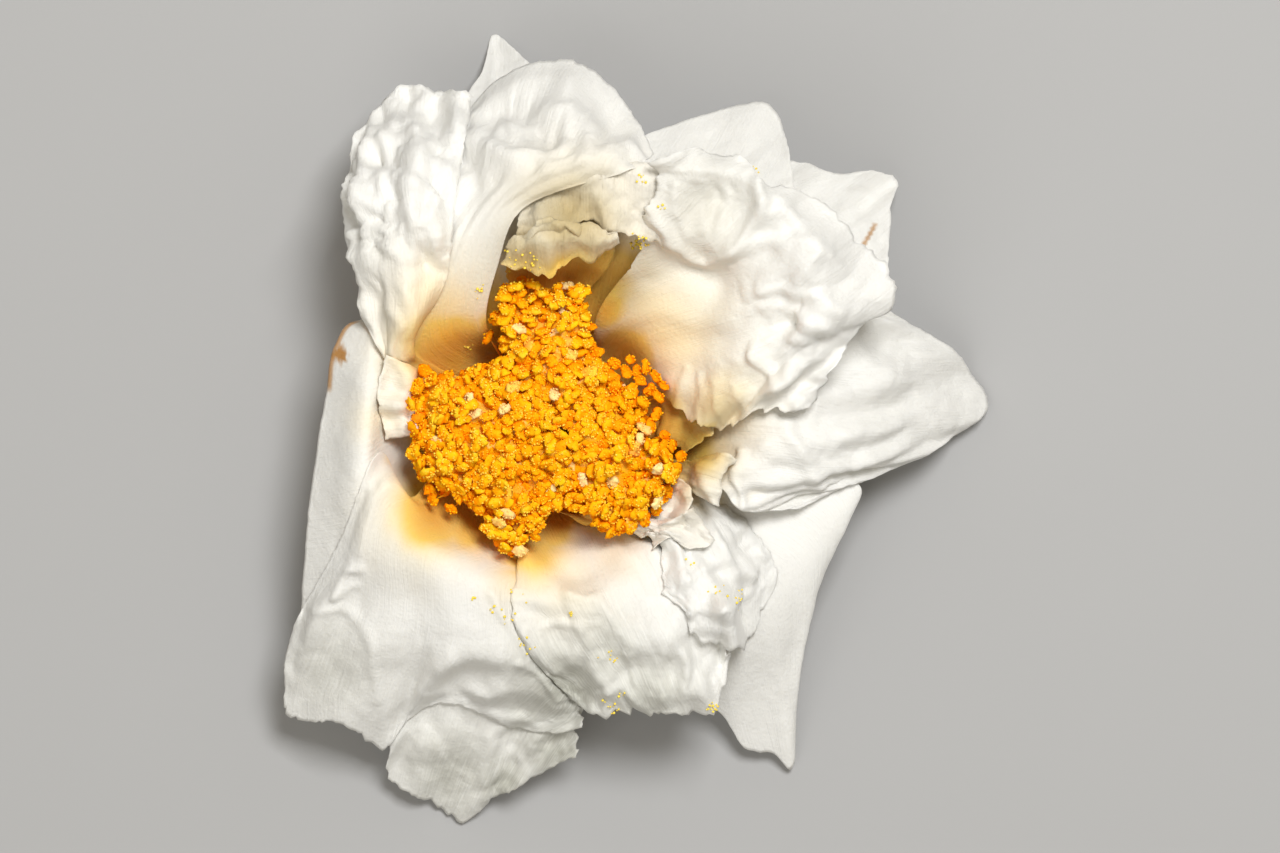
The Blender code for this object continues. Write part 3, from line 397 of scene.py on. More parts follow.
# Single ridges (or grooves, where the height is below 0): height and width in mm, and the
# points in plan that each one runs through
CREASES = {
    "petal_upper_left_fan": (
        (1.3, 1.5, (-26, 51), (-25.5, 46), (-21, 44.2), (-15.5, 44.6), (-12, 47), (-12, 51),
         (-16, 52.5)),
        (0.8, 1.1, (-22, 51.5), (-18.5, 49), (-16, 46.5)),
        (0.5, 0.9, (-15, 59), (-15, 54)),
        (0.5, 0.9, (-11, 58), (-11.5, 52)),
        (0.6, 1.3, (-14, 41.5), (-7, 45), (0, 47)),
        (-0.9, 2.2, (-31, 50), (-27, 43), (-28, 36)),
    ),
    "petal_left_fan": (
        (1.3, 1.8, (-39, 55), (-36.5, 50), (-34.5, 46.5), (-33.5, 43)),
        (1.1, 1.5, (-45, 50), (-41, 46.5), (-36, 45), (-31, 42)),
        (1.1, 1.5, (-46.5, 44), (-42, 42.5), (-38, 40), (-33, 38.5)),
        (0.9, 1.3, (-48, 38), (-43, 37), (-39, 36), (-36, 33.5)),
        (0.8, 1.1, (-47.5, 33), (-43, 33.4), (-39, 32)),
        (0.7, 1.2, (-46, 28.5), (-42, 30), (-37, 28)),
        (-1.3, 2.0, (-33, 54), (-30, 47), (-29.5, 41)),
        (0.8, 0.9, (-40.5, 13), (-39, 17), (-41, 21)),
        (0.6, 0.9, (-37, 16), (-36.5, 20), (-38, 24)),
    ),
    "petal_upper_right_funnel": (
        (0.9, 3.2, (-6, 17.5), (2, 19.5), (10, 19.5), (16, 18)),
        (-0.9, 3.0, (-3, 22.5), (5, 25), (12, 25.5)),
        (1.4, 1.1, (1, 39), (3, 35), (5, 31.5), (8, 28.8), (12, 27.8), (16, 29), (19, 32),
         (20.5, 36), (20, 41)),
        (1.0, 1.6, (16, 30), (22, 31), (28, 30), (34, 26)),
        (0.8, 1.3, (24, 36), (27, 33), (29, 28), (27, 24)),
        (0.9, 1.0, (20, 23), (26, 22.4), (33, 20)),
        (0.8, 1.0, (21, 20), (27, 18), (34, 15)),
        (0.4, 0.9, (20, 15.5), (26, 14.4), (31, 11)),
        (0.35, 0.7, (8, 10), (7.5, 6), (7, 1)),
        (0.4, 0.6, (10.8, 9), (10.5, 5), (10, 0)),
        (0.4, 0.6, (13.5, 8), (13.8, 4), (14.5, 0)),
        (0.35, 0.6, (16.5, 8), (17.6, 5), (18, 1)),
        (1.2, 0.8, (20, 14), (21, 10), (23, 6.5), (27.5, 3.5)),
        (0.5, 0.8, (10, 43), (11, 33)),
        (0.5, 0.8, (14, 43), (14, 33)),
        (0.5, 0.8, (6, 40), (8, 32)),
    ),
    "petal_bottom_inner": (
        (0.9, 1.5, (-10, -16), (-3, -20), (3, -21)),
        (0.8, 0.9, (-14, -33), (-10, -33), (-7, -36), (-6, -41)),
        (0.9, 0.8, (-18, -33), (-14, -39), (-10, -43)),
        (0.8, 0.7, (-5, -38), (-5, -46)),
        (0.8, 0.7, (-1, -37), (0, -46)),
        (0.9, 0.8, (4, -36), (5, -45)),
        (1.3, 0.9, (8, -37), (7.5, -42), (9, -47)),
        (0.7, 0.6, (-7, -44), (-2, -42.5), (1, -46)),
        (0.7, 0.8, (-12, -27), (-6, -28), (-3, -33)),
    ),
    "petal_lower_right_inner": (
        (0.9, 1.1, (3, -26), (8, -25), (13, -22)),
        (0.8, 1.1, (6, -29), (12, -30), (18, -27)),
        (0.7, 0.9, (9, -33), (15, -34)),
        (0.8, 0.9, (12, -16), (15, -21), (18, -24)),
        (0.7, 0.9, (6, -17), (7, -22), (5, -26)),
    ),
    "petal_lower_left": (
        (0.6, 0.9, (-56, -29), (-49, -29.5), (-45, -32), (-43.5, -36), (-43.5, -45)),
        (0.8, 0.9, (-43, -10), (-46, -16), (-48, -21), (-49, -27)),
        (0.9, 2, (-37, -47), (-33, -43), (-31, -38)),
        (1.1, 1.3, (-27, -43), (-23, -47), (-17, -49.5)),
        (0.7, 0.8, (-20, -38), (-14, -42), (-11, -47)),
        (0.5, 0.7, (-51, -24), (-46, -23)),
        (0.5, 0.7, (-52, -27), (-46, -26.5)),
        (0.6, 0.8, (-24, -27), (-20, -32), (-18, -38)),
    ),
    "petal_outer_bottom": (
        (0.7, 1.5, (-36, -50), (-37, -56), (-36, -60)),
        (0.8, 1.2, (-25, -52), (-25, -58), (-26, -62)),
        (0.6, 0.9, (-19, -52), (-20, -59)),
        (0.5, 0.7, (-14, -51), (-16, -57)),
        (0.5, 0.7, (-22, -54), (-23, -61)),
    ),
    "petal_right": (
        (1.1, 0.9, (17.5, -4), (16.8, -8), (18, -12.5)),
        (0.9, 1.3, (25, 0), (28, -5), (31, -9)),
        (0.6, 1.4, (22, -2), (32, -1), (44, 1)),
        (0.5, 1.0, (34, -8), (42, -3), (50, 1)),
    ),
    "petal_outer_top": (
        (0.5, 0.9, (-25, 57), (-24, 62)),
        (0.6, 0.8, (-27, 56), (-24.5, 58)),
    ),
}
# Centres of the folds, for the petals where that isn't the heart
FOLD_CENTRES = {"petal_left_fan": (-31, 22), "petal_upper_left_fan": (-26, 26),
                "petal_upper_right_funnel": (-6, 16), "petaloid_right": (12, 22)}

# Places in plan: x, y, reach in mm and strength.
# Where amber is painted on the petals round the head: partly the base's own amber,
# partly painted glow of light thrown back by the anthers, and painted shade in the throat
AMBER_GLOW_AND_SHADE = ((-10, 33, 10, 0.42), (-6, 23, 6, 0.8), (3, 15, 12, 0.5), (4, 4, 5, 0.85),
        (10, -3, 6, 0.8), (13, 4, 8, 0.45), (-33, -13, 8, 1.0), (-31, 13, 9, 1.0),
        (-2, 12, 7, 1.0), (-17, -20, 7, 0.8), (-12, -24, 8, 0.32), (-4, -20, 6, 0.3),
        (-31, 18, 10, 0.55), (8, -9, 5, 0.4), (-13, 17, 8, 1.0), (-23, 16, 5, 1.0),
        (-42, 2, 5, 0.3), (-14, -16, 5, 1.0), (-27, -15, 6, 0.95), (7, -2, 4, 1.0),
        (-5, 20, 4, 0.95))
# Where dusky shade, between amber and olive, is painted on the petals
PAINTED_DUSK = ((-11, 35, 8, 0.62), (-18, 29, 6, 0.5), (-8, 29, 6, 0.5), (-4, 23, 6, 0.7),
        (1, 27, 4, 0.4), (9, -3, 5, 0.8), (12, 1, 5, 0.5), (7, 4, 4, 0.4), (14, 5, 5, 0.15),
        (11, 36, 7, 0.2), (4, 18, 9, 0.08), (-24, 14, 3, 0.6), (-14, -17, 4, 0.15),
        (-33, -14, 6, 0.3), (-22, -22, 5, 0.1))
# Where they are crumpled more than elsewhere
KNOTS = ((-17, 49, 5, 2.2), (-12, 45, 4, 1.2), (25, 17, 7, 1.1), (24, 36, 4, 0.9),
         (34, 22, 6, 0.6), (26, 8, 5, 0.9), (14, 44, 4, 0.5), (15, 6, 5, 0.6),
         (10, -28, 6, 0.4), (-24, 57, 5, 0.4))
# Where the tissue is thin and finely crinkled, and where grey shade is painted on it
SHEER_AND_SHADE = ((-12, -43, 9, 1.0), (-5, -37, 8, 0.7), (-13, -54, 7, 1.0), (-22, -60, 6, 1.0),
         (-31, -58, 9, 0.75), (-51, -40, 8, 0.5), (2, -44, 8, 0.8), (-18, -48, 5, 0.7),
         (12, 37, 8, 0.22), (-44, 31, 6, 0.2))
# Petals whose margins sink onto the petals below them, and by how much of the gap
HUGS = {"petal_lower_left": 1.0, "petal_bottom_inner": 1.0, "petal_lower_right_inner": 1.0,
        "petal_left_fan": 0.8, "petal_upper_right_funnel": 0.4, "petaloid_pale_lower": 0.8,
        "petal_middle_top": 0.5, "petaloid_pale_upper": 0.4, "petaloid_left": 0.6}
# Petaloids tucked below the rims of petals that are laid earlier
TUCKED = {"petaloid_top_back": ("petal_upper_left_fan", "petal_upper_right_funnel"),
          "petaloid_right": ("petal_upper_right_funnel",)}

# Outline of the stamen head: direction and reach from the heart
OUTLINE = ((0, 15.4), (10, 15), (20, 14.3), (32, 13.3), (44, 13), (60, 13.2), (67, 14.5),
           (71, 18), (75, 23), (79, 24), (87, 24), (93, 22.3), (97, 24.4), (102, 25),
           (109, 25.2), (114, 24), (117, 21), (120, 17), (125, 15.4), (136, 14.6),
           (144, 16.9), (150, 17.5), (153, 19.5), (156, 23.5), (160, 24.3), (170, 23.9),
           (177, 22.4), (189, 23.9), (197, 23.7), (207, 22), (215, 19.2), (228, 18.8),
           (236, 20), (242, 21), (250, 22), (256, 20.5), (259, 17.5), (263, 14), (270, 12.5),
           (278, 12.2), (289, 13.3), (294, 15.8), (298, 19.3), (302, 20.4), (311, 20.5),
           (322, 21.3), (332, 21.4), (341, 21.5), (347, 19.3), (353, 16.6))
# Anthers apart from the rest: x, y and how far they lie below the head's crown
LONE = ((-24.4, 15.4, 6), (-1, 11.6, 4), (1.6, 10.4, 5), (3.2, 8.9, 5), (0.6, 8.2, 3.5),
        (2.2, 6.6, 4), (3.6, 5.6, 5), (-3.6, 11, 3), (4.7, -1, 3.5), (5.9, -2.6, 4),
        (7.4, -4.4, 5), (3.4, 2.6, 3), (-33.4, -11.6, 3), (-30.5, -13, 5), (-36.8, 0.4, 2),
        (-6.4, 12.6, 2.5), (0.2, 9.6, 4.5), (4.4, 7.4, 6), (-1.6, 9.6, 3), (-0.6, 6.6, 2.5),
        (1.2, 4.6, 2.5), (2.4, 0.8, 2.5))
# Pollen on the petals: place in plan, spread of the group, number of grains
POLLEN = ((0.5, 30.7, 0.7, 34), (-19.5, 28, 1.2, 16), (-26, 22.8, 0.8, 7), (1, 40.5, 0.5, 6),
          (3.7, 36, 0.6, 4), (14, -26.6, 0.8, 7), (17, -27.8, 0.7, 12), (-11, -30.2, 0.3, 5),
          (-4.2, -37.4, 0.7, 8), (-4, -46, 0.7, 10), (-3, -43.5, 0.5, 5),
          (12.8, -46.3, 0.6, 14), (-27, -27.8, 0.3, 3), (-23.5, -29.5, 0.5, 6),
          (-21, -31.5, 0.7, 6), (-18.5, -35.4, 0.7, 8), (-20, -27, 1.5, 4),
          (9, -21.4, 0.5, 3), (20, 43, 0.6, 5), (-28, 14, 0.6, 6), (-17, 27.5, 0.8, 8))

GRIDS = {}  # middle surface of every sheet laid so far, in the order of laying


# ---------------------------------------------------------------- curves and surfaces


def through(points, knots, at):
    """A smooth curve (cubic Hermite) through rows of points, read at the values `at`."""
    k = np.asarray(knots, float)
    p = np.asarray(points, float)
    slope = np.gradient(p, k, axis=0)
    i = np.clip(np.searchsorted(k, at, side="right") - 1, 0, len(k) - 2)
    step = (k[i + 1] - k[i]).reshape((-1,) + (1,) * (p.ndim - 1))
    f = (at - k[i]).reshape(step.shape) / step
    left = (1 + 2 * f) * (1 - f) ** 2 * p[i] + f * (1 - f) ** 2 * step * slope[i]
    right = f * f * (3 - 2 * f) * p[i + 1] - f * f * (1 - f) * step * slope[i + 1]
    return left + right


def run_along(points):
    """How far each point lies along the broken line through all of them."""
    return np.concatenate([[0], np.cumsum(np.linalg.norm(np.diff(points, axis=0), axis=1))])


def evenly(points, count):
    """Points an even distance apart on the smooth curve through the given ones."""
    p = np.asarray(points, float)
    knots = np.concatenate([[0], np.cumsum(np.linalg.norm(np.diff(p, axis=0), axis=1) ** 0.5)])
    fine = through(p, knots, np.linspace(0, knots[-1], STEPS_PER_POINT * len(p)))
    run = run_along(fine)
    at = np.linspace(0, run[-1], count)
    return np.stack([np.interp(at, run, fine[:, c]) for c in range(3)], axis=1)


def loft(rows, along, across):
    """A grid (along, across, 3) of points on the smooth surface through the rows."""
    r = np.stack([evenly(row, across) for row in rows])
    step = np.linalg.norm(np.diff(r, axis=0), axis=2).mean(axis=1)
    knots = np.concatenate([[0], np.cumsum(step ** 0.5)])
    at = np.linspace(0, knots[-1], STEPS_PER_POINT * len(rows))
    fine = through(r, knots, at)
    step = np.linalg.norm(np.diff(fine, axis=0), axis=2).mean(axis=1)
    run = np.concatenate([[0], np.cumsum(step)])
    return through(r, knots, np.interp(np.linspace(0, run[-1], along), run, at))


def lengths(grid, axis):
    """The length of every line of a grid that runs along the given axis."""
    return np.linalg.norm(np.diff(grid, axis=axis), axis=2).sum(axis=axis)


def unit(vectors):
    """The same directions, each 1 long."""
    return vectors / np.linalg.norm(vectors, axis=-1, keepdims=True)


def normals(grid):
    """The unit normals of a grid, on the side that faces up from the heart."""
    n = np.cross(np.gradient(grid, axis=1), np.gradient(grid, axis=0))
    return n / np.maximum(np.linalg.norm(n, axis=2, keepdims=True), 1e-9)


def spans(grid):
    """Share of the length u, share of the half-width v, and both as runs in mm."""
    along, across = grid.shape[:2]
    u = np.linspace(0, 1, along)[:, None] * np.ones((1, across))
    v = np.ones((along, 1)) * np.linspace(-1, 1, across)[None, :]
    return u, v, u * lengths(grid, 0).mean(), v * lengths(grid, 1)[:, None] / 2


def round_heart(radius, turn, height):
    """Points round the heart: radii, directions in radians and heights."""
    return np.stack([HEART[0] + radius * np.cos(turn), HEART[1] + radius * np.sin(turn),
                     0 * turn + height], axis=1)


# ---------------------------------------------------------------- unevenness


def ramp(x, low, high):
    """0 below low, 1 above high, and a smooth step between them."""
    f = np.clip((x - low) / (high - low), 0, 1)
    return f * f * (3 - 2 * f)


def waves(s, t, length, seed):
    """Smooth unevenness about 1 high: nine plane waves of about that length, seeded."""
    rng = np.random.default_rng(seed)
    turn = rng.uniform(0, math.pi, 9)
    size = length * rng.uniform(0.7, 1.5, 9)
    phase = rng.uniform(0, 2 * math.pi, 9)
    total = np.zeros_like(s)
    for a, l, p in zip(turn, size, phase):
        total += np.sin(2 * math.pi * (s * math.cos(a) + t * math.sin(a)) / l + p)
    return total / math.sqrt(9 / 2)


def noise(s, t, seed):
    """Gradient noise on unit cells: random slopes at the corners, blended smoothly."""
    turn = np.random.default_rng(seed).uniform(0, 2 * math.pi, (NOISE_CELLS, NOISE_CELLS))
    slope_s, slope_t = np.cos(turn), np.sin(turn)
    i, j = np.floor(s).astype(int), np.floor(t).astype(int)
    f, g = s - i, t - j
    a, b = (x ** 3 * (x * (x * 6 - 15) + 10) for x in (f, g))

    def corner(di, dj):
        p, q = (i + di) % NOISE_CELLS, (j + dj) % NOISE_CELLS
        return slope_s[p, q] * (f - di) + slope_t[p, q] * (g - dj)

    near_side = corner(0, 0) * (1 - a) + corner(1, 0) * a
    far_side = corner(0, 1) * (1 - a) + corner(1, 1) * a
    return 1.5 * (near_side * (1 - b) + far_side * b)


def layered(s, t, seed, layers=3):
    """Noise added up in layers, each half as large and half as high as the last."""
    return sum(noise(s * 2 ** k, t * 2 ** k, seed + 7 * k) / 2 ** k for k in range(layers))


def pillows(s, t, seed):
    """Round swellings with creases between them: the size of layered noise, softened.

    Three layers, each half as large as the last, less about the mean of their sum.
    """
    return sum(high * np.sqrt(noise(k * s, k * t, seed + 5 * k) ** 2 + 0.006)
               for k, high in ((1, 2.2), (2, 1.0), (4, 0.5))) - 1.1


def crumpled(x, y, size, seed):
    """Pillows of the given size over a plan that is itself pushed about by noise."""
    s, t = x / size, y / size
    return pillows(s + 0.45 * layered(0.6 * s, 0.6 * t, seed + 3, 2),
                   t + 0.45 * layered(0.6 * s, 0.6 * t, seed + 4, 2), seed)


def from_line(x, y, a, b, c, d):
    """Distance in plan from the straight line between (a, b) and (c, d)."""
    f = np.clip(((x - a) * (c - a) + (y - b) * (d - b)) / ((c - a) ** 2 + (d - b) ** 2), 0, 1)
    return np.hypot(x - a - f * (c - a), y - b - f * (d - b))


def creased(lines, x, y):
    """Ridges along broken lines: each falls off as a bell with the distance from its line."""
    total = np.zeros_like(x)
    for height, width, *points in lines:
        away = np.min([from_line(x, y, *start, *end)
                       for start, end in zip(points, points[1:])], axis=0)
        total += height * np.exp(-(away / width) ** 2)
    return total


def near(places, x, y):
    """The greatest pull of a list of (x, y, reach, strength) at each point."""
    pull = [strength * np.exp(-((x - a) ** 2 + (y - b) ** 2) / reach ** 2)
            for a, b, reach, strength in places]
    return np.max(pull, axis=0)


# ---------------------------------------------------------------- petals


def seat_row(ring, turn, width):
    """The base of a petal: a short arc that lies just off the cone of the receptacle."""
    radius, height = (a + SEAT_OFF * b for a, b in zip(RINGS[ring], CONE_NORMAL))
    angle = math.radians(turn) + np.linspace(0.5, -0.5, 3) * width / radius
    return [(HEART[0] + radius * math.cos(a), HEART[1] + radius * math.sin(a), height)
            for a in angle]


def bitten(grid, depth, pitch, seed):
    """The grid with teeth at its far end: each column is cut short by a changing amount.

    The amount is the depth times softened pillows plus a finer noise, and the cut grows with
    the sixth power of the length, so only the end of a column moves.
    """
    along, across = grid.shape[:2]
    run = np.cumsum(np.linalg.norm(np.diff(grid[-1], axis=0, prepend=grid[-1, :1]), axis=1))
    bite = np.clip(pillows(run / pitch, 0 * run + 0.3, seed) * 0.6 + 0.5, 0, 2)
    bite += 0.35 * np.abs(noise(run / pitch * 3.1, 0 * run + 0.7, seed + 1))
    length = np.maximum(lengths(grid, 0), 1.0)
    u = np.linspace(0, 1, along)[:, None]
    at = np.clip(u * (1 - (depth * bite / length)[None, :] * u ** 6), 0, 1) * (along - 1)
    low = np.minimum(at.astype(int), along - 2)
    f = (at - low)[..., None]
    column = np.arange(across)[None, :]
    return grid[low, column] * (1 - f) + grid[low + 1, column] * f


def toothed(grid, depth, pitch, right, seed):
    """Teeth at the far end of a petal and along the outer half of its two sides."""
    grid = bitten(grid, depth, pitch, seed)
    rise = ramp(np.linspace(0, 1, grid.shape[0]), 0.4, 0.65)
    for k, share in ((1, 1.0), (2, right)):
        side = grid[:, ::-1].swapaxes(0, 1)
        grid = bitten(side, share * depth * rise, pitch, seed + k).swapaxes(0, 1)
    return grid


def petal_sheet(name, teeth_scale):
    """The smooth sheet through the rows of a petal, with its toothed margin."""
    shape, (depth, pitch, *right) = PETALS[name], LOOKS[name][3]
    rows = [seat_row(*shape["seat"])] + list(shape["rows"])
    coarse = loft(rows, 20, 20)
    along, across = (int(lengths(coarse, axis).max() / SPACING) + 2 for axis in (0, 1))
    grid = loft(rows, min(along, MOST_ALONG), min(across, MOST_ACROSS))
    return toothed(grid, depth * teeth_scale, pitch, *(right or (SIDE_TEETH,)),
                   shape["seed"] + 40)


def petal_grid(name, settings):
    """The middle surface of a petal.

    Its smooth, toothed sheet is moved along its normals by the sum of: one broad ruffle
    that grows with the cube of the length, uneven waves, folds that run out from a centre,
    pillow-like crumples laid over the plan and stronger at the knots, a narrow frill close
    to the margin, the single ridges and grooves of CREASES, a finer set of crumples, fine
    crinkles where the tissue is sheer, and a skin of the finest unevenness.
    """
    grid = petal_sheet(name, settings.teeth)
    shape = PETALS[name]
    fold, crumple, frill = LOOKS[name][:3]
    seed, start = shape["seed"], fold[2]
    u, v, s, t = spans(grid)
    x, y = grid[..., 0], grid[..., 1]
    high, count = shape["ruffle"]
    size, length = shape["crumple"]
    phase = seed * 1.7 + 0.8 * np.sin(3 * v + seed)
    lift = high * u ** 3 * np.sin(math.pi * count * v + phase)
    lift += size * ramp(u, start - 0.25, start + 0.25) * waves(s, t, length, seed)

    centre = FOLD_CENTRES.get(name, HEART)
    out = np.hypot(x - centre[0], y - centre[1])
    turn = np.unwrap(np.arctan2(y - centre[1], x - centre[0]), axis=1) * FOLD_RADIUS
    folds = turn / fold[1] + 0.4 * noise(x / 7, y / 7, seed)
    outer = ramp(u, start, 0.9)
    edge = np.maximum(u, np.abs(v) * ramp(u, 0.35, 0.6))
    outside = ramp(u, 0.4, 0.6)
    height = crumple[0] * ramp(u, start - 0.1, 0.8) + KNOT_HEIGHT * (near(KNOTS, x, y) * outside)
    fine = fold[0] * outer * pillows(folds, out / (3 * fold[1]), seed + 10)
    fine += height * crumpled(x, y, crumple[1], seed + 20)
    fine += frill[0] * edge ** 9 * layered(folds * fold[1] / frill[1], out / (3 * frill[1]),
                                           seed + 30)
    stray = [WANDER * noise(x / WANDER_SIZE, y / WANDER_SIZE, seed + k) for k in (70, 71)]
    fine += creased(CREASES.get(name, ()), x + stray[0], y + stray[1]) * ramp(u, 0.15, 0.3)
    fine += FINE_SHARE * crumple[0] * outer * crumpled(x, y, crumple[1] / FINE_SIZE, seed + 25)
    crinkles = pillows(turn / 4 + 2.2 * noise(x / 7, y / 7, seed + 2),
                       out / 5 + 1.2 * noise(x / 6, y / 6, seed + 4), seed + 50)
    fine += SHEER_HEIGHT * (near(SHEER_AND_SHADE, x, y) * outside) ** 3 * crinkles
    fine += SKIN_HEIGHT * outer * layered(x / SKIN_SIZE, y / SKIN_SIZE, seed + 60)

    shift = (lift + fine * settings.crumple)[..., None] * normals(grid)
    shift[..., :2] *= 1 - HELD * ramp(edge, 0.75, 1)[..., None]
    grid = grid + shift
    grid[..., 2] = np.maximum(grid[..., 2], LOWEST)
    return grid


def spread(a, reach, how):
    """The greatest or mean value over a square window of a grid, taken axis by axis."""
    for axis in (0, 1):
        pad = [(0, 0), (0, 0)]
        pad[axis] = (reach, reach)
        wide = np.pad(a, pad, mode="edge")
        span = range(2 * reach + 1)
        a = how([np.take(wide, range(k, k + a.shape[axis]), axis=axis) for k in span], axis=0)
    return a


def finer(grid, times):
    """The grid with its flat facets divided into `times` parts each way."""
    for axis in (0, 1):
        n = grid.shape[axis]
        at = np.linspace(0, n - 1, (n - 1) * times + 1)
        low = np.minimum(at.astype(int), n - 2)
        shape = [1, 1, 1]
        shape[axis] = -1
        f = (at - low).reshape(shape)
        grid = np.take(grid, low, axis) * (1 - f) + np.take(grid, low + 1, axis) * f
    return grid


class HeightMap:
    """How high the given sheets reach over each cell of the plan."""

    def __init__(self, grids):
        count = int(2 * MAP_HALF / CELL) + 2
        self.top = np.full((count, count), EMPTY)
        for grid in grids:
            points = finer(grid, 3)
            np.maximum.at(self.top, self.cells(points), points[..., 2])

    def cells(self, points):
        """Row and column of the cell that each point lies over."""
        place = np.rint((points[..., :2] + MAP_HALF) / CELL).astype(int)
        place = np.clip(place, 1, len(self.top) - 2)
        return place[..., 0], place[..., 1]

    def clearance(self, reach):
        """The map grown by a ball of the given radius: the height that its middle needs."""
        n = int(math.ceil(reach / CELL))
        size = len(self.top)
        wide = np.pad(self.top, n, constant_values=EMPTY)
        grown = np.full_like(self.top, EMPTY)
        for i in range(-n, n + 1):
            for j in range(-n, n + 1):
                rest = reach ** 2 - (i * i + j * j) * CELL ** 2
                if rest >= 0:
                    part = wide[n + i:n + i + size, n + j:n + j + size]
                    grown = np.maximum(grown, part + math.sqrt(rest))
        return grown


def settle(grid, heights, clear=CLEAR):
    """Raises a petal wherever it would come too near the ones below it.

    The lift is the greatest need over a small window, averaged so that it stays smooth,
    and is repeated until hardly any need is left.
    """
    floor = heights.clearance(clear)
    for attempt in range(SETTLE_ROUNDS):
        need = np.maximum(floor[heights.cells(grid)] - grid[..., 2], 0)
        if need.max() < TOUCHES:
            break
        reach = 2 if attempt < SETTLE_ROUNDS / 2 else 1
        lift = spread(spread(need, 2 * reach, np.max), reach, np.mean)
        grid = grid + lift[..., None] * (0, 0, 1)
    return grid


def hugged(grid, heights, share):
    """Lets the outer part of a petal sink towards the petals close below its margin.

    A gap of up to 6 mm is closed by the given share; beyond 10 mm the margin stays.
    """
    u, v, _, _ = spans(grid)
    gap = grid[..., 2] - heights.clearance(HUG_CLEAR)[heights.cells(grid)]
    outer = ramp(np.maximum(u, np.abs(v) * ramp(u, 0.3, 0.5)), 0.7, 0.97)
    sink = share * outer * np.clip(gap, 0, 6) * (1 - ramp(gap, 6, 10))
    return grid - spread(sink, 2, np.mean)[..., None] * (0, 0, 1)


def browned(name, x, y, edge):
    """Where a petal is scarred: a torn line on one, a dried tip and margin on another."""
    if name == "petal_outer_upper_right":
        return 0.8 * (1 - ramp(from_line(x, y, *TEAR), 0.2, 0.5))
    if name == "petal_outer_left":
        tip = np.hypot(x - DRIED[0], y - DRIED[1])
        rough = 0.5 * layered(x, y, 8)
        return np.maximum(0.9 * ramp(edge, 0.965, 0.985) * (1 - ramp(tip, 5.5, 7)),
                          1 - ramp(tip + 1.4 * rough, 1.0, 1.8))
    return np.zeros_like(x)


def lay_petal(name, finish, slot, settings):
    """Makes one petal, settles it and gives it its thickness and the values of its colour.

    Its colour values are the share of amber, partly the base's own colour and partly
    painted glow and shade round the head; the share of painted dusky shade; the share of
    painted grey shade on sheer tissue; and the share of brown scars. The blade is thickest
    at the base and thins out in its last tenth.
    """
    below = HeightMap(g for n, g in GRIDS.items() if n not in TUCKED.get(name, ()))
    grid = settle(petal_grid(name, settings), below)
    if name in HUGS:
        grid = settle(hugged(grid, below, HUGS[name]), below, HUG_CLEAR)
    GRIDS[name] = grid
    u, v, s, t = spans(grid)
    x, y, z = np.moveaxis(grid, 2, 0)
    edge = np.maximum(u, np.abs(v))
    ragged = RAGGED * layered(s / RAGGED_SIZE, t / RAGGED_SIZE, PETALS[name]["seed"] + 60)
    inner = 1 - ramp(np.hypot(x - HEART[0], y - HEART[1]), *GLOW_REACH)
    # Share of amber: the base's own amber, with painted glow and shade lower down near the heart
    # and at the places of the amber table
    amber_glow_shade = np.max([(1 - ramp(z + ragged, *LOOKS[name][4])) * inner,
                   near(AMBER_GLOW_AND_SHADE, x + 0.4 * ragged, y + 0.4 * ragged),
                   1 - ramp(u, 0.03, 0.16)], axis=0)
    # The dusky share and the sheer share hold painted shade
    held = {"amber_glow_shade": amber_glow_shade, "scar": browned(name, x, y, edge),
            "painted_grey_shade": near(SHEER_AND_SHADE, x, y) * ramp(u, 0.4, 0.6),
            "painted_dusk_shade": near(PAINTED_DUSK, x + 0.3 * ragged, y + 0.3 * ragged)}
    thick = settings.thickness / MM * (0.7 + 1.1 * np.clip(1 - 3 * u, 0, 1))
    points, faces = sheet_solid(grid, thick * (1 - 0.45 * edge ** 8))
    uv = np.stack([t / 40 + 0.5, s / 60], axis=2).reshape(-1, 2)
    piece = add_piece(name + "_fine", points, faces, finish, slot, uv=np.tile(uv, (2, 1)),
                      **{field: np.tile(values.ravel(), 2) for field, values in held.items()})
    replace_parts(piece, name)


def lay_all(kind, finish, slot, settings):
    """Lays every petal whose name starts with the given kind, in the order of PETALS."""
    for name in PETALS:
        if name.startswith(kind):
            lay_petal(name, finish, slot, settings)


def sepal_grid(index, along, across):
    """The middle surface of a sepal, a cupped scale under the petals.

    Its half-width follows part of a sine arch and narrows with the square of the way into
    the last third. Its height grows with the squares of the length and of the way aside.
    """
    turn = 2 * math.pi * (index + 0.3) / SEPALS
    u = np.linspace(0, 1, along)[:, None] * np.ones((1, across))
    v = np.ones((along, 1)) * np.linspace(1, -1, across)[None, :]
    half = SEPAL_WIDTH / 2 * (0.42 + 0.58 * np.sin(math.pi * np.clip(0.12 + 0.75 * u, 0, 1)))
    half = half * (1 - 0.75 * np.clip(u * 3 - 2, 0, 1) ** 2)
    radius = SEPAL_FOOT + SEPAL_LENGTH * 0.93 * u
    side = half * v
    height = 1.25 + 0.3 * u + 2.8 * u ** 2 + 0.045 * side ** 2
    height = height + 0.08 * noise(radius / 1.8, side / 1.2 + 9 * index, 5)
    x = HEART[0] + radius * math.cos(turn) - side * math.sin(turn)
    y = HEART[1] + radius * math.sin(turn) + side * math.cos(turn)
    return np.stack([x, y, height], axis=2)


# ---------------------------------------------------------------- solids and objects


def sheet_faces(along, across, offset, flip):
    """Four-cornered faces of a grid."""
    a = (offset + np.arange(along - 1)[:, None] * across + np.arange(across - 1)[None, :]).ravel()
    quads = np.stack([a, a + 1, a + across + 1, a + across], axis=1)
    return quads[:, ::-1] if flip else quads


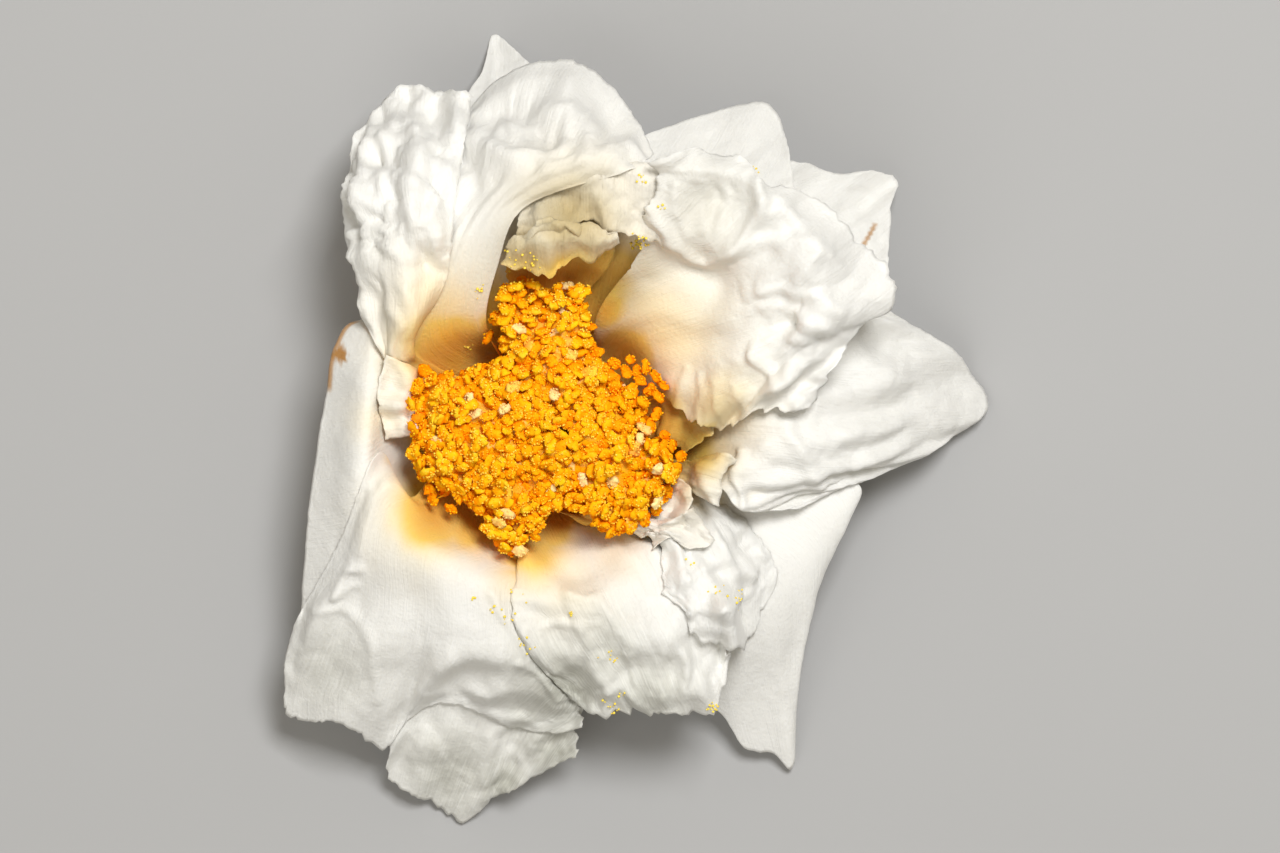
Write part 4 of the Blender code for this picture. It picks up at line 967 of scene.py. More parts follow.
def sheet_solid(grid, thick):
    """A closed sheet of the given thickness at each point: two faces alike and the rim."""
    along, across = grid.shape[:2]
    off = normals(grid) * np.asarray(thick)[..., None] / 2
    points = np.concatenate([(grid + off).reshape(-1, 3), (grid - off).reshape(-1, 3)])
    count = along * across
    walk = np.concatenate([np.arange(along) * across,
                           (along - 1) * across + np.arange(1, across),
                           np.arange(along - 2, -1, -1) * across + across - 1,
                           np.arange(across - 2, 0, -1)])
    ahead = np.roll(walk, -1)
    rim = np.stack([walk, ahead, ahead + count, walk + count], axis=1)
    faces = np.concatenate([sheet_faces(along, across, 0, False),
                            sheet_faces(along, across, count, True), rim])
    return points, faces


def ring_faces(rings, sides):
    """Four-cornered faces between rings of points, each ring closed on itself."""
    k, j = np.meshgrid(np.arange(rings - 1), np.arange(sides), indexing="ij")
    a, b = k * sides + j, k * sides + (j + 1) % sides
    return np.stack([a, b, b + sides, a + sides], axis=2).reshape(-1, 4)


def turned(profile, sides, lobe):
    """A turned solid: each (radius, height) pair carried round the heart, lowest first.

    The radius of the highest rings swells by cos(3 x angle), which makes three lobes.
    """
    p = np.asarray(profile, float)
    turn = np.linspace(0, 2 * math.pi, sides, endpoint=False)
    swell = 1 + lobe * np.cos(3 * turn)[None, :] * ramp(p[:, 1], p[-1, 1] - 2, p[-1, 1])[:, None]
    radius = p[:, :1] * swell
    points = np.stack([HEART[0] + radius * np.cos(turn), HEART[1] + radius * np.sin(turn),
                       p[:, 1:2] * np.ones((1, sides))], axis=2)
    return points.reshape(-1, 3), ring_faces(len(p), sides)


def tubes(paths, radius, sides):
    """Thin tubes along many paths at once (count, steps, 3), closed at both ends."""
    count, steps = paths.shape[:2]
    ahead = unit(np.gradient(paths, axis=1))
    side = unit(np.cross(ahead, (0.3, 0.2, 0.93)))
    up = np.cross(side, ahead)
    turn = np.linspace(0, 2 * math.pi, sides, endpoint=False)
    width = np.full(steps, radius)
    width[[0, -1]] = 0.02
    ring = (side[:, :, None] * np.cos(turn)[None, None, :, None]
            + up[:, :, None] * np.sin(turn)[None, None, :, None])
    points = paths[:, :, None] + ring * width[None, :, None, None]
    faces = ring_faces(steps, sides)[None] + (np.arange(count) * steps * sides)[:, None, None]
    return points.reshape(-1, 3), faces.reshape(-1, 4)


def scattered(form, faces, middles, along, up, size):
    """Copies of one form: its three axes are turned to the given directions and scaled."""
    side = unit(np.cross(up, along))
    up = np.cross(along, side)
    points = middles[:, None, :]
    for axis, direction in enumerate((along, side, up)):
        reach = form[None, :, axis:axis + 1] * size[:, None, axis:axis + 1]
        points = points + reach * direction[:, None, :]
    faces = faces[None] + (np.arange(len(middles)) * len(form))[:, None, None]
    return points, faces.reshape(-1, faces.shape[-1])


def add_piece(name, points, faces, finish, slot, uv=None, triangles=None, **fields):
    """An object from points in mm, faces, a UV pair for each point and named values."""
    placed = (np.asarray(points, float) + (SHIFT[0], SHIFT[1], 0)) * MM
    mesh = bpy.data.meshes.new(name)
    listed = faces.tolist() + ([] if triangles is None else triangles.tolist())
    mesh.from_pydata(placed.tolist(), [], listed)
    mesh.update()
    mesh.shade_smooth()
    if triangles is not None:
        smooth = np.arange(len(listed)) < len(faces)
        mesh.polygons.foreach_set("use_smooth", smooth)
    if uv is not None:
        corner = np.empty(len(mesh.loops), np.int32)
        mesh.loops.foreach_get("vertex_index", corner)
        layer = mesh.uv_layers.new(name="along")
        layer.data.foreach_set("uv", np.asarray(uv, np.float32)[corner].ravel())
    for field, values in fields.items():
        held = mesh.attributes.new(field, "FLOAT", "POINT")
        held.data.foreach_set("value", np.asarray(values, np.float32).ravel())
    obj = bpy.data.objects.new(name, mesh)
    obj.data.materials.append(finish)
    bpy.context.scene.collection.objects.link(obj)
    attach(obj, "root")
    return obj


def welded(obj):
    """Merges the points of a pole into one and drops the faces that close up there."""
    shape = bmesh.new()
    shape.from_mesh(obj.data)
    bmesh.ops.remove_doubles(shape, verts=shape.verts[:], dist=1e-6)
    shape.to_mesh(obj.data)
    shape.free()
    return obj


def add_turned(name, profile, sides, finish, slot, tall, lobe=0.0):
    """Adds a turned solid on the heart's axis, with a UV of its turn and height."""
    points, faces = turned(profile, sides, lobe)
    turn = np.arctan2(points[:, 1] - HEART[1], points[:, 0] - HEART[0])
    uv = np.stack([turn / math.pi, points[:, 2] / tall], axis=1)
    piece = welded(add_piece(name + "_fine", points, faces, finish, slot, uv=uv))
    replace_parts(piece, name)


# ---------------------------------------------------------------- stamens


def head_reach(turn):
    """How far the stamen head reaches in a direction, in degrees."""
    at, far = np.array(OUTLINE, float).T
    return np.interp(turn % 360, at, far, period=360)


def head_top(x, y, share):
    """Height of the head's upper side: a dome that falls with the square of the share of
    the outline, with soft clumps."""
    clumps = 0.7 * waves(x, y, 9, HEAD_SEED) + 1.3 * pillows(x / 5, y / 5, HEAD_SEED)
    return HEAD_TOP - HEAD_DROP * share ** 2 + clumps


def head_core(heights):
    """The mass of filaments: a tube that opens into a lobed head, round the pistil.

    Rings of points run up the outside of the tube, out under the head, back in over its
    top at shares of the head's outline, and down the bore of the tube.
    """
    turn = np.linspace(0, 2 * math.pi, CORE_SIDES, endpoint=False)
    far = head_reach(np.degrees(turn)) - CORE_INSET
    floor = spread(heights.clearance(CORE_CLEAR), 1, np.max)
    grid = [round_heart(radius, turn, z) for radius, z in
            ((TUBE_RADIUS, TUBE_FOOT), (TUBE_RADIUS, 14), (TUBE_RADIUS + 0.8, TUBE_TOP))]
    for share in CORE_UNDER:
        ring = round_heart(far * share, turn, 19.5 + 8 * share)
        ring[:, 2] = np.maximum(ring[:, 2], floor[heights.cells(ring)])
        grid.append(ring)
    low = grid[-1][:, 2]
    for share in CORE_OVER:
        ring = round_heart(far * share, turn, 0)
        x, y = ring[:, 0], ring[:, 1]
        top = head_top(x, y, share) - CORE_SINK + 0.35 * layered(x / 2, y / 2, HEAD_SEED)
        ring[:, 2] = np.maximum(top, low * share + 0.8 + 24 * (1 - share))
        grid.append(ring)
    grid += [round_heart(TUBE_BORE, turn, z) for z in (HEAD_TOP - 3, TUBE_FOOT)]
    points = np.concatenate(grid)
    return points, ring_faces(len(grid) + 1, CORE_SIDES) % len(points)


def anther_places(heights, wide, rng):
    """Middles of the anthers, and how deep each one lies inside the head.

    They are a spiral lattice in three layers, rows round the rim and the few that stand
    apart. The spiral turns by the golden angle and widens with the root of the count.
    """
    k = np.arange(LATTICE_COUNT)
    radius, turn = LATTICE_PITCH * np.sqrt(k), np.degrees(k * GOLDEN_TURN) % 360
    inside = radius / head_reach(turn) < 0.97
    radius, turn = radius[inside], turn[inside]
    share = radius / head_reach(turn)
    low = rng.choice(LAYERS[0], len(radius), p=LAYERS[1])
    for drop, count in RIM_ROWS:
        rim = np.linspace(0, 360, count, endpoint=False) + 3 * drop
        rim = rim + rng.normal(0, 1.5, count)
        radius = np.concatenate([radius, head_reach(rim) - 0.7 + rng.normal(0, 0.35, count)])
        turn = np.concatenate([turn, rim])
        share = np.concatenate([share, np.ones(count)])
        low = np.concatenate([low, np.full(count, drop)])
    x = HEART[0] + radius * np.cos(np.radians(turn)) + rng.normal(0, 0.25, len(radius))
    y = HEART[1] + radius * np.sin(np.radians(turn)) + rng.normal(0, 0.25, len(radius))
    apart = np.array(LONE, float)
    x, y = np.concatenate([x, apart[:, 0]]), np.concatenate([y, apart[:, 1]])
    share, low = np.append(share, 0.8 + 0 * apart[:, 2]), np.append(low, apart[:, 2])
    z = head_top(x, y, share) + 0.5 - low + rng.uniform(-0.5, 0.5, len(x))
    middles = np.stack([x, y, z], axis=1)
    middles[:, 2] = np.maximum(z, heights.clearance(wide / 2)[heights.cells(middles)])
    # How deep the colour is: painted shade inside the head, uneven by clumps
    clump = 0.25 * pillows(middles[:, 0] / 5, middles[:, 1] / 5, HEAD_SEED)
    return middles, np.clip(low / 6 - clump, 0, 0.5)


def anther_form(sides, rings):
    """A unit anther: a bean with a groove along it, as (angle round, place along).

    The half-width follows a flat-topped arch along the length, and the section is an
    oval pinched at two opposite sides, radius 0.78 + 0.22 cos(2 x angle).
    """
    along = np.linspace(-1, 1, rings)[:, None] * np.ones((1, sides))
    turn = np.linspace(0, 2 * math.pi, sides, endpoint=False)[None, :] * np.ones((rings, 1))
    arch = np.maximum(1 - np.abs(along) ** 3.2, 0.0) ** 0.5
    oval = 0.78 + 0.22 * np.cos(2 * turn)
    points = np.stack([along, arch * oval * np.cos(turn), 0.8 * arch * oval * np.sin(turn)], axis=2)
    return points.reshape(-1, 3), np.roll(ring_faces(rings, sides)[:, ::-1], 1, axis=1)


def directions(rng, up):
    """A random direction along each anther or grain, about square to its up direction."""
    return np.cross(up, rng.normal(0, 1, up.shape))


def pollen_crumbs(middles, along, up, size, rng):
    """Eight-faced crumbs of pollen stuck to the upper side of the anthers.

    Returns their points and faces, the anther that each point is on, and how deep its
    colour is: painted shade that grows towards the crumb's underside.
    """
    form = np.array([(1, 0, 0), (0, 1, 0), (-1, 0, 0), (0, -1, 0), (0, 0, 1), (0, 0, -1)], float)
    faces = np.array([(0, 1, 4), (1, 2, 4), (2, 3, 4), (3, 0, 4),
                      (1, 0, 5), (2, 1, 5), (3, 2, 5), (0, 3, 5)])
    owner = rng.integers(0, len(middles), CRUMBS)
    side = unit(np.cross(up, along))
    top = np.cross(along, side)
    way = unit(rng.normal(0, 1, (CRUMBS, 3)))
    way[:, 2] = np.abs(way[:, 2])
    way = way * size[owner] * (0.9, 0.95, 0.85)
    places = (middles[owner] + way[:, :1] * along[owner] + way[:, 1:2] * side[owner]
              + way[:, 2:] * top[owner])
    ahead = unit(rng.normal(0, 1, (CRUMBS, 3)))
    upward = unit(directions(rng, ahead))
    wide = rng.uniform(0.13, 0.27, (CRUMBS, 1)) * np.ones(3)
    points, faces = scattered(form, faces, places, ahead, upward, wide)
    underside_shade = np.clip(0.2 - 2.0 * (points[..., 2] - places[:, None, 2]), 0, 0.6).ravel()
    return points.reshape(-1, 3), faces, np.repeat(owner, len(form)), underside_shade


def add_anthers(middles, deep, settings, rng):
    """Adds the knobbly anthers with their crumbs of pollen, as one piece.

    hue tells the anthers apart, and deep, which is painted shade, grows inside the head and
    on their undersides.
    """
    long, wide = settings.anther_long / MM, settings.anther_wide / MM
    count = len(middles)
    up = unit(middles - (HEART[0], HEART[1], HEAD_TOP - FAN_DEPTH))
    up = up + rng.normal(0, 0.3, (count, 3))
    along = unit(directions(rng, up) + rng.normal(0, 0.3, (count, 1)) * up)
    form, faces = anther_form(ANTHER_SIDES, ANTHER_RINGS)
    size = np.stack([long / 2 * rng.uniform(0.8, 1.15, count),
                     wide / 2 * rng.uniform(0.85, 1.2, count),
                     wide / 2 * rng.uniform(0.85, 1.2, count)], axis=1)
    points, faces = scattered(form, faces, middles, along, up, size)
    knobs = rng.normal(0, 1, points.shape)
    knobs[:, :ANTHER_SIDES] = knobs[:, :1]
    knobs[:, -ANTHER_SIDES:] = knobs[:, -1:]
    points = points + KNOBS * (0.7 * knobs + 0.7 * np.roll(knobs, 1, axis=1))
    shade = rng.uniform(0, 1, count)
    # Painted shade on each anther's underside
    underside_shade = np.clip(0.5 - 0.7 * (points[..., 2] - middles[:, None, 2]), 0, 1)
    depth = np.clip(0.12 + deep[:, None] + 0.6 * underside_shade, 0, 1)
    crumbs, more, owner, underside_shade = pollen_crumbs(middles, along, up, size, rng)
    piece = add_piece("anthers", np.concatenate([points.reshape(-1, 3), crumbs]), faces,
                      anther_finish("anther_pollen", settings), "anther_gold",
                      triangles=more + len(form) * count,
                      hue=np.concatenate([np.repeat(shade, len(form)), shade[owner]]),
                      deep=np.concatenate([depth.ravel(), underside_shade + 0.4 * deep[owner]]))
    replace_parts(welded(piece), "stamens")


def add_filaments(middles, heights, settings, rng):
    """Adds the mass of filaments, and single ones up to some of the anthers.

    A single filament is a quadratic curve from the tube to the underside of its anther.
    """
    core, faces = head_core(heights)
    pick = rng.choice(len(middles), settings.filaments, replace=False)
    foot = np.arctan2(middles[pick, 1] - HEART[1], middles[pick, 0] - HEART[0])
    start = round_heart(FILAMENT_FOOT, foot, rng.uniform(14, 20, len(pick)))
    end = middles[pick] - (0, 0, 0.4)
    bend = 0.5 * (start + end) + (0, 0, -1.0) + rng.normal(0, 0.6, start.shape)
    f = np.linspace(0, 1, FILAMENT_STEPS)[None, :, None]
    paths = start[:, None] * (1 - f) ** 2 + bend[:, None] * 2 * f * (1 - f) + end[:, None] * f * f
    threads, more = tubes(paths, FILAMENT_RADIUS, FILAMENT_SIDES)
    # deep is painted shade, darker lower down inside the head
    deep = [0.15 + 0.85 * ramp(31 - core[:, 2], 0, 12), 0.8 * ramp(34 - threads[:, 2], 0, 12)]
    add_piece("filaments", np.concatenate([core, threads]),
              np.concatenate([faces, more + len(core)]), filament_finish("filament_wax"),
              "anther_gold", deep=np.concatenate(deep))


# ---------------------------------------------------------------- finishes


class Nodes:
    """Adds nodes to a tree. A socket given as an input is linked, a value is set."""

    def __init__(self, tree):
        self.tree = tree

    def feed(self, node, inputs):
        for key, value in inputs.items():
            if isinstance(value, bpy.types.NodeSocket):
                self.tree.links.new(value, node.inputs[key])
            else:
                node.inputs[key].default_value = value

    def add(self, kind, inputs=None, **settings):
        node = self.tree.nodes.new(kind)
        for key, value in settings.items():
            setattr(node, key, value)
        self.feed(node, inputs or {})
        return node

    def math(self, operation, first, second):
        return self.add("ShaderNodeMath", {0: first, 1: second}, operation=operation).outputs[0]

    def weighed(self, first, share, second, other):
        """first x share + second x other."""
        return self.math("ADD", self.math("MULTIPLY", first, share),
                        self.math("MULTIPLY", second, other))

    def blend(self, share, first, second, kind="MIX"):
        return self.add("ShaderNodeMix", {0: share, 6: first, 7: second},
                        data_type="RGBA", blend_type=kind).outputs[2]

    def ramp(self, value, stops):
        node = self.add("ShaderNodeValToRGB", {0: value})
        held = node.color_ramp.elements
        while len(held) < len(stops):
            held.new(0.5)
        for element, (place, colour) in zip(held, stops):
            element.position = place
            element.color = tuple(colour)[:3] + (1,)
        return node.outputs[0]

    def between(self, value, low, high, start=0.0, end=1.0):
        """The value carried from start..end to low..high."""
        return self.add("ShaderNodeMapRange", {"Value": value, "From Min": start, "From Max": end,
                                               "To Min": low, "To Max": high}).outputs["Result"]

    def field(self, name):
        return self.add("ShaderNodeAttribute", attribute_name=name).outputs["Fac"]

    def noise(self, vector, scale, **inputs):
        return self.add("ShaderNodeTexNoise",
                        {"Vector": vector, "Scale": scale, **inputs}).outputs["Fac"]

    def cells(self, vector, scale):
        return self.add("ShaderNodeTexVoronoi",
                        {"Vector": vector, "Scale": scale}).outputs["Distance"]

    def group(self, name, inputs):
        """The one output of a node group."""
        return self.add("ShaderNodeGroup", inputs,
                        node_tree=bpy.data.node_groups[name]).outputs[0]

    def bump(self, height, strength, distance):
        return self.add("ShaderNodeBump", {"Height": height, "Strength": strength,
                                           "Distance": distance}).outputs["Normal"]


def new_group(name, inputs, output):
    """An empty node group with named sockets: its Nodes, its inputs and a way to its output."""
    tree = bpy.data.node_groups.new(name, "ShaderNodeTree")
    for title, kind, value in inputs:
        socket = tree.interface.new_socket(title, in_out="INPUT", socket_type=kind)
        if value is not None:
            socket.default_value = value
    tree.interface.new_socket(output[0], in_out="OUTPUT", socket_type=output[1])
    nodes = Nodes(tree)
    given, out = nodes.add("NodeGroupInput").outputs, nodes.add("NodeGroupOutput")
    return nodes, given, lambda value: nodes.feed(out, {output[0]: value})


def build_groups():
    """The effects that several finishes share: veins, tissue grain and mottling."""
    nodes, given, give = new_group(
        "vein_lines",
        (("Vector", "NodeSocketVector", None), ("Density", "NodeSocketFloat", 60.0),
         ("Length", "NodeSocketFloat", 3.0)),
        ("Height", "NodeSocketFloat"))
    stretch = nodes.add("ShaderNodeCombineXYZ", {"X": given["Density"], "Y": given["Length"],
                                                 "Z": 1.0}).outputs[0]
    place = nodes.add("ShaderNodeVectorMath", {0: given["Vector"], 1: stretch},
                      operation="MULTIPLY").outputs[0]
    give(nodes.noise(place, 1.0, Detail=3.0, Roughness=0.6, Distortion=0.4))

    nodes, given, give = new_group(
        "tissue_grain",
        (("Vector", "NodeSocketVector", None), ("Scale", "NodeSocketFloat", 1800.0)),
        ("Height", "NodeSocketFloat"))
    grain = nodes.noise(given["Vector"], given["Scale"], Detail=2.0)
    cells = nodes.cells(given["Vector"], given["Scale"])
    give(nodes.math("ADD", grain, nodes.math("MULTIPLY", cells, 0.4)))

    nodes, given, give = new_group(
        "mottle",
        (("Vector", "NodeSocketVector", None), ("Scale", "NodeSocketFloat", 120.0),
         ("Colour", "NodeSocketColor", (1, 1, 1, 1)),
         ("Shade", "NodeSocketColor", (0.8, 0.8, 0.8, 1)), ("Amount", "NodeSocketFloat", 0.3)),
        ("Colour", "NodeSocketColor"))
    cloud = nodes.noise(given["Vector"], given["Scale"], Detail=3.0)
    share = nodes.math("MULTIPLY", cloud, given["Amount"])
    give(nodes.blend(share, given["Colour"], given["Shade"]))


def new_finish(name, radius=None, **values):
    """A material: its Nodes, its texture coordinates and a way to feed its shader.

    Values are set on the sockets of the Principled shader, radius is how far each colour
    of light scatters below the surface.
    """
    made = bpy.data.materials.new(name)
    made.use_nodes = True
    nodes = Nodes(made.node_tree)
    shader = made.node_tree.nodes["Principled BSDF"]
    nodes.feed(shader, {key.replace("_", " "): value for key, value in values.items()})
    if radius:
        nodes.feed(shader, {"Subsurface Radius": radius})
    where = nodes.add("ShaderNodeTexCoord").outputs
    return made, nodes, where, lambda **inputs: nodes.feed(
        shader, {key.replace("_", " "): value for key, value in inputs.items()})


def petal_finish(name, settings, warm, vein_depth):
    """Petal tissue: white at the margin, amber at the base, with fine lengthwise veins.

    Painted dusky shade, painted grey shade on the sheer places and brown scars are blended
    over it. The amber tissue, whose amber is partly painted glow and shade, has no gloss.
    """
    made, nodes, where, feed = new_finish(name, (1.0, 0.96, 0.88), Subsurface_Weight=0.3,
                                          Subsurface_Scale=0.0009, Sheen_Roughness=0.5, IOR=1.4)
    # Amber share: partly the base's own amber, partly painted glow and shade round the head
    amber_glow_shade = nodes.field("amber_glow_shade")
    base = nodes.ramp(amber_glow_shade, ((0.0, np.array(settings.white) * warm), (0.25, settings.cream),
                             (0.45, (0.94, 0.75, 0.46)), (0.7, (0.98, 0.62, 0.10)),
                             (1.0, settings.amber)))
    veins = nodes.group("vein_lines", {"Vector": where["UV"], "Density": 90.0, "Length": 5.0})
    grain = nodes.group("tissue_grain", {"Vector": where["Object"], "Scale": 1500.0})
    cloudy = nodes.group("mottle", {"Vector": where["Object"], "Scale": 160.0, "Colour": base,
                                    "Shade": (0.80, 0.78, 0.72, 1), "Amount": 0.12})
    lined = nodes.blend(nodes.math("MULTIPLY", veins, 0.10), cloudy, (0.70, 0.68, 0.62, 1))
    # Painted shade: a dusky olive blended in where the painted dusk share is high
    painted_dusk_colour = nodes.blend(nodes.field("painted_dusk_shade"), lined, (0.30, 0.22, 0.05, 1))
    crinkle = nodes.noise(where["Object"], 230.0, Detail=4.0, Distortion=0.8)
    # Painted grey shade on the sheer places, streaked along the veins and crinkles
    grey_shade_streaks = nodes.ramp(nodes.weighed(veins, 0.65, crinkle, 0.35),
                         ((0.40, (0.33, 0.33, 0.27)), (0.52, (0.44, 0.44, 0.37)),
                          (0.62, (0.62, 0.62, 0.56))))
    grey_shaded = nodes.blend(nodes.math("MULTIPLY", nodes.field("painted_grey_shade"), 0.75), painted_dusk_colour, grey_shade_streaks)
    feed(Base_Color=nodes.blend(nodes.field("scar"), grey_shaded, (0.45, 0.22, 0.06, 1)),
         Specular_IOR_Level=nodes.between(amber_glow_shade, 0.5, 0.06, 0.1, 0.6),
         Sheen_Weight=nodes.between(amber_glow_shade, 0.12, 0.0, 0.1, 0.6),
         Normal=nodes.bump(nodes.weighed(veins, vein_depth, grain, 0.35), 0.6, 0.0004),
         Roughness=nodes.between(grain, 0.45, 0.68))
    return made


def anther_finish(name, settings):
    """Anthers dusted with pollen, a few of them cream: a painted highlight makes the crowns
    pale yellow, and painted shade makes the sides, undersides and deep anthers orange.
    """
    made, nodes, where, feed = new_finish(name, (1.0, 0.9, 0.8), Subsurface_Weight=0.12,
                                          Subsurface_Scale=0.0004, Roughness=0.7, IOR=1.3,
                                          Specular_IOR_Level=0.12)
    hue = nodes.field("hue")
    # 0 is the lit crown, painted pale as a highlight; more is painted shade, orange and darker
    base = nodes.ramp(nodes.field("deep"), ((0.0, (1.0, 0.78, 0.11)), (0.14, settings.bright),
                                            (0.4, (1.0, 0.42, 0.002)), (1.0, settings.deep)))
    warm = nodes.ramp(hue, ((0.0, (1.0, 0.84, 0.5)), (0.4, (1, 1, 1))))
    cream = nodes.ramp(hue, ((0.95, (0, 0, 0)), (0.97, (0.6, 0.6, 0.6)), (1.0, (0.9, 0.9, 0.9))))
    toned = nodes.blend(cream, nodes.blend(1.0, base, warm, "MULTIPLY"), (1.0, 0.86, 0.45, 1))
    crumbs = nodes.noise(where["Object"], 1900.0, Detail=3.0)
    speck = nodes.ramp(crumbs, ((0.38, (1.0, 0.9, 0.7)), (0.55, (1, 1, 1))))
    height = nodes.math("SUBTRACT", crumbs, nodes.cells(where["Object"], 3600.0))
    feed(Base_Color=nodes.blend(1.0, toned, speck, "MULTIPLY"),
         Normal=nodes.bump(height, 0.1, 0.00015))
    return made


def filament_finish(name):
    """Filaments: waxy orange, faintly streaked, painted darker and redder lower down as
    shade inside the head.
    """
    made, nodes, where, feed = new_finish(name, (1.0, 0.5, 0.1), Subsurface_Weight=0.3,
                                          Subsurface_Scale=0.001, Roughness=0.5)
    base = nodes.ramp(nodes.field("deep"), ((0.0, (1.0, 0.55, 0.01)), (0.4, (1.0, 0.40, 0.003)),
                                            (1.0, (0.33, 0.07, 0.005))))
    grain = nodes.group("tissue_grain", {"Vector": where["Object"], "Scale": 2200.0})
    feed(Base_Color=nodes.group("mottle", {"Vector": where["Object"], "Scale": 900.0,
                                           "Colour": base, "Shade": (0.60, 0.18, 0.01, 1),
                                           "Amount": 0.3}),
         Normal=nodes.bump(grain, 0.4, 0.0002))
    return made


def green_finish(name, colour, shade, density):
    """Green tissue of the calyx and pistil: mottled, veined lengthwise, softly glossy."""
    made, nodes, where, feed = new_finish(name, Subsurface_Weight=0.1, Subsurface_Scale=0.001,
                                          Sheen_Weight=0.2, IOR=1.4)
    tone = nodes.group("mottle", {"Vector": where["Object"], "Scale": 420.0,
                                  "Colour": tuple(colour) + (1,), "Shade": shade, "Amount": 0.9})
    veins = nodes.group("vein_lines", {"Vector": where["UV"], "Density": density, "Length": 4.0})
    grain = nodes.group("tissue_grain", {"Vector": where["Object"], "Scale": 1400.0})
    feed(Base_Color=nodes.blend(nodes.math("MULTIPLY", veins, 0.45), tone, shade),
         Normal=nodes.bump(nodes.math("ADD", veins, nodes.math("MULTIPLY", grain, 0.5)),
                           0.6, 0.0003),
         Roughness=nodes.between(grain, 0.45, 0.7))
    return made


# ---------------------------------------------------------------- settings


class CamelliaPetals(bpy.types.PropertyGroup):
    thickness: FloatProperty(name="Thickness", description="Thickness of the petals' blades",
                             default=0.00042, min=0.0002, max=0.001, precision=5, unit="LENGTH")
    crumple: FloatProperty(name="Crumple", description="Strength of the folds and crumples",
                           default=1.0, min=0.0, max=2.0, subtype="FACTOR")
    teeth: FloatProperty(name="Teeth", description="Depth of the teeth of the margins",
                         default=1.0, min=0.0, max=2.0, subtype="FACTOR")
    white: FloatVectorProperty(name="White", description="Colour of the margins",
                               default=(0.83, 0.822, 0.785), min=0, max=1, subtype="COLOR")
    cream: FloatVectorProperty(name="Cream", description="Colour between margin and base",
                               default=(0.86, 0.785, 0.63), min=0, max=1, subtype="COLOR")
    # Amber is also the colour of the painted glow and shade round the head
    amber: FloatVectorProperty(name="Amber", description="Colour of the petals' bases",
                               default=(1.0, 0.46, 0.008), min=0, max=1, subtype="COLOR")


class CamelliaHead(bpy.types.PropertyGroup):
    anther_long: FloatProperty(name="Anther length", description="Length of an anther",
                               default=0.0028, min=0.001, max=0.005, precision=5, unit="LENGTH")
    anther_wide: FloatProperty(name="Anther width", description="Width of an anther",
                               default=0.0018, min=0.0005, max=0.003, precision=5, unit="LENGTH")
    filaments: IntProperty(name="Filaments", description="Number of separate filaments",
                           default=360, min=50, max=800)
    # Colour of the lit crowns, painted lighter than the anthers' shaded sides
    bright: FloatVectorProperty(name="Bright", description="Colour of the anthers' crowns",
                                default=(1.0, 0.58, 0.008), min=0, max=1, subtype="COLOR")
    # Colour of painted shade on the anthers deep in the head
    deep: FloatVectorProperty(name="Deep", description="Colour of the anthers deep inside",
                              default=(1.0, 0.26, 0.0), min=0, max=1, subtype="COLOR")


class CamelliaCalyx(bpy.types.PropertyGroup):
    sepal: FloatVectorProperty(name="Sepal", description="Colour of the sepals",
                               default=(0.26, 0.36, 0.13), min=0, max=1, subtype="COLOR")
    scar: FloatVectorProperty(name="Receptacle", description="Colour of the receptacle",
                              default=(0.38, 0.42, 0.2), min=0, max=1, subtype="COLOR")


class CamelliaStage(bpy.types.PropertyGroup):
    floor: FloatVectorProperty(name="Floor", description="Colour of the floor",
                               default=(0.40, 0.40, 0.40), min=0, max=1, subtype="COLOR")
    key: FloatProperty(name="Key light", description="Power of the main light in watts",
                       default=8.7, min=0.0, max=200.0)
    distance: FloatProperty(name="Camera height", description="Height of the camera",
                            default=1.13, min=0.3, max=3.0, unit="LENGTH")


# ---------------------------------------------------------------- operators


class CAMELLIA_OT_calyx(bpy.types.Operator):
    """Adds the green receptacle with its stalk scar, and the five sepals"""
    bl_idname = "camellia.calyx"
    bl_label = "Add calyx"

    def execute(self, context):
        settings = context.scene.camellia_calyx
        green = green_finish("calyx_green", settings.sepal, (0.12, 0.17, 0.05, 1), 26.0)
        pale = green_finish("receptacle_pale", settings.scar, (0.20, 0.20, 0.09, 1), 30.0)
        add_turned("receptacle", RECEPTACLE_PROFILE, 96, pale, "receptacle_green", 10)
        for index in range(SEPALS):
            name = f"sepal_{index + 1}"
            grid = GRIDS[name] = sepal_grid(index, *SEPAL_POINTS)
            u, v, s, t = spans(grid)
            thick = SEPAL_THICK * (1 - 0.55 * ramp(u, 0.5, 1)) * (1 - 0.35 * v ** 4)
            points, faces = sheet_solid(grid, thick)
            uv = np.stack([t / 12 + 0.5, s / 12], axis=2).reshape(-1, 2)
            piece = add_piece(name + "_fine", points, faces, green, "sepal_green",
                              uv=np.tile(uv, (2, 1)))
            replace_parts(piece, name)
        return {"FINISHED"}


class CAMELLIA_OT_petals(bpy.types.Operator):
    """Adds the thirteen petals, each settled onto the ones laid before"""
    bl_idname = "camellia.petals"
    bl_label = "Add petals"

    def execute(self, context):
        settings = context.scene.camellia_petals
        tissue = petal_finish("petal_tissue", settings, (1.0, 1.0, 1.0), 0.6)
        lay_all("petal_", tissue, "petal_white", settings)
        return {"FINISHED"}


class CAMELLIA_OT_petaloids(bpy.types.Operator):
    """Adds the seven small crumpled petaloids round the stamens"""
    bl_idname = "camellia.petaloids"
    bl_label = "Add petaloids"

    def execute(self, context):
        settings = context.scene.camellia_petals
        tissue = petal_finish("petaloid_tissue", settings, (0.99, 0.955, 0.90), 0.8)
        lay_all("petaloid_", tissue, "petaloid_cream", settings)
        return {"FINISHED"}


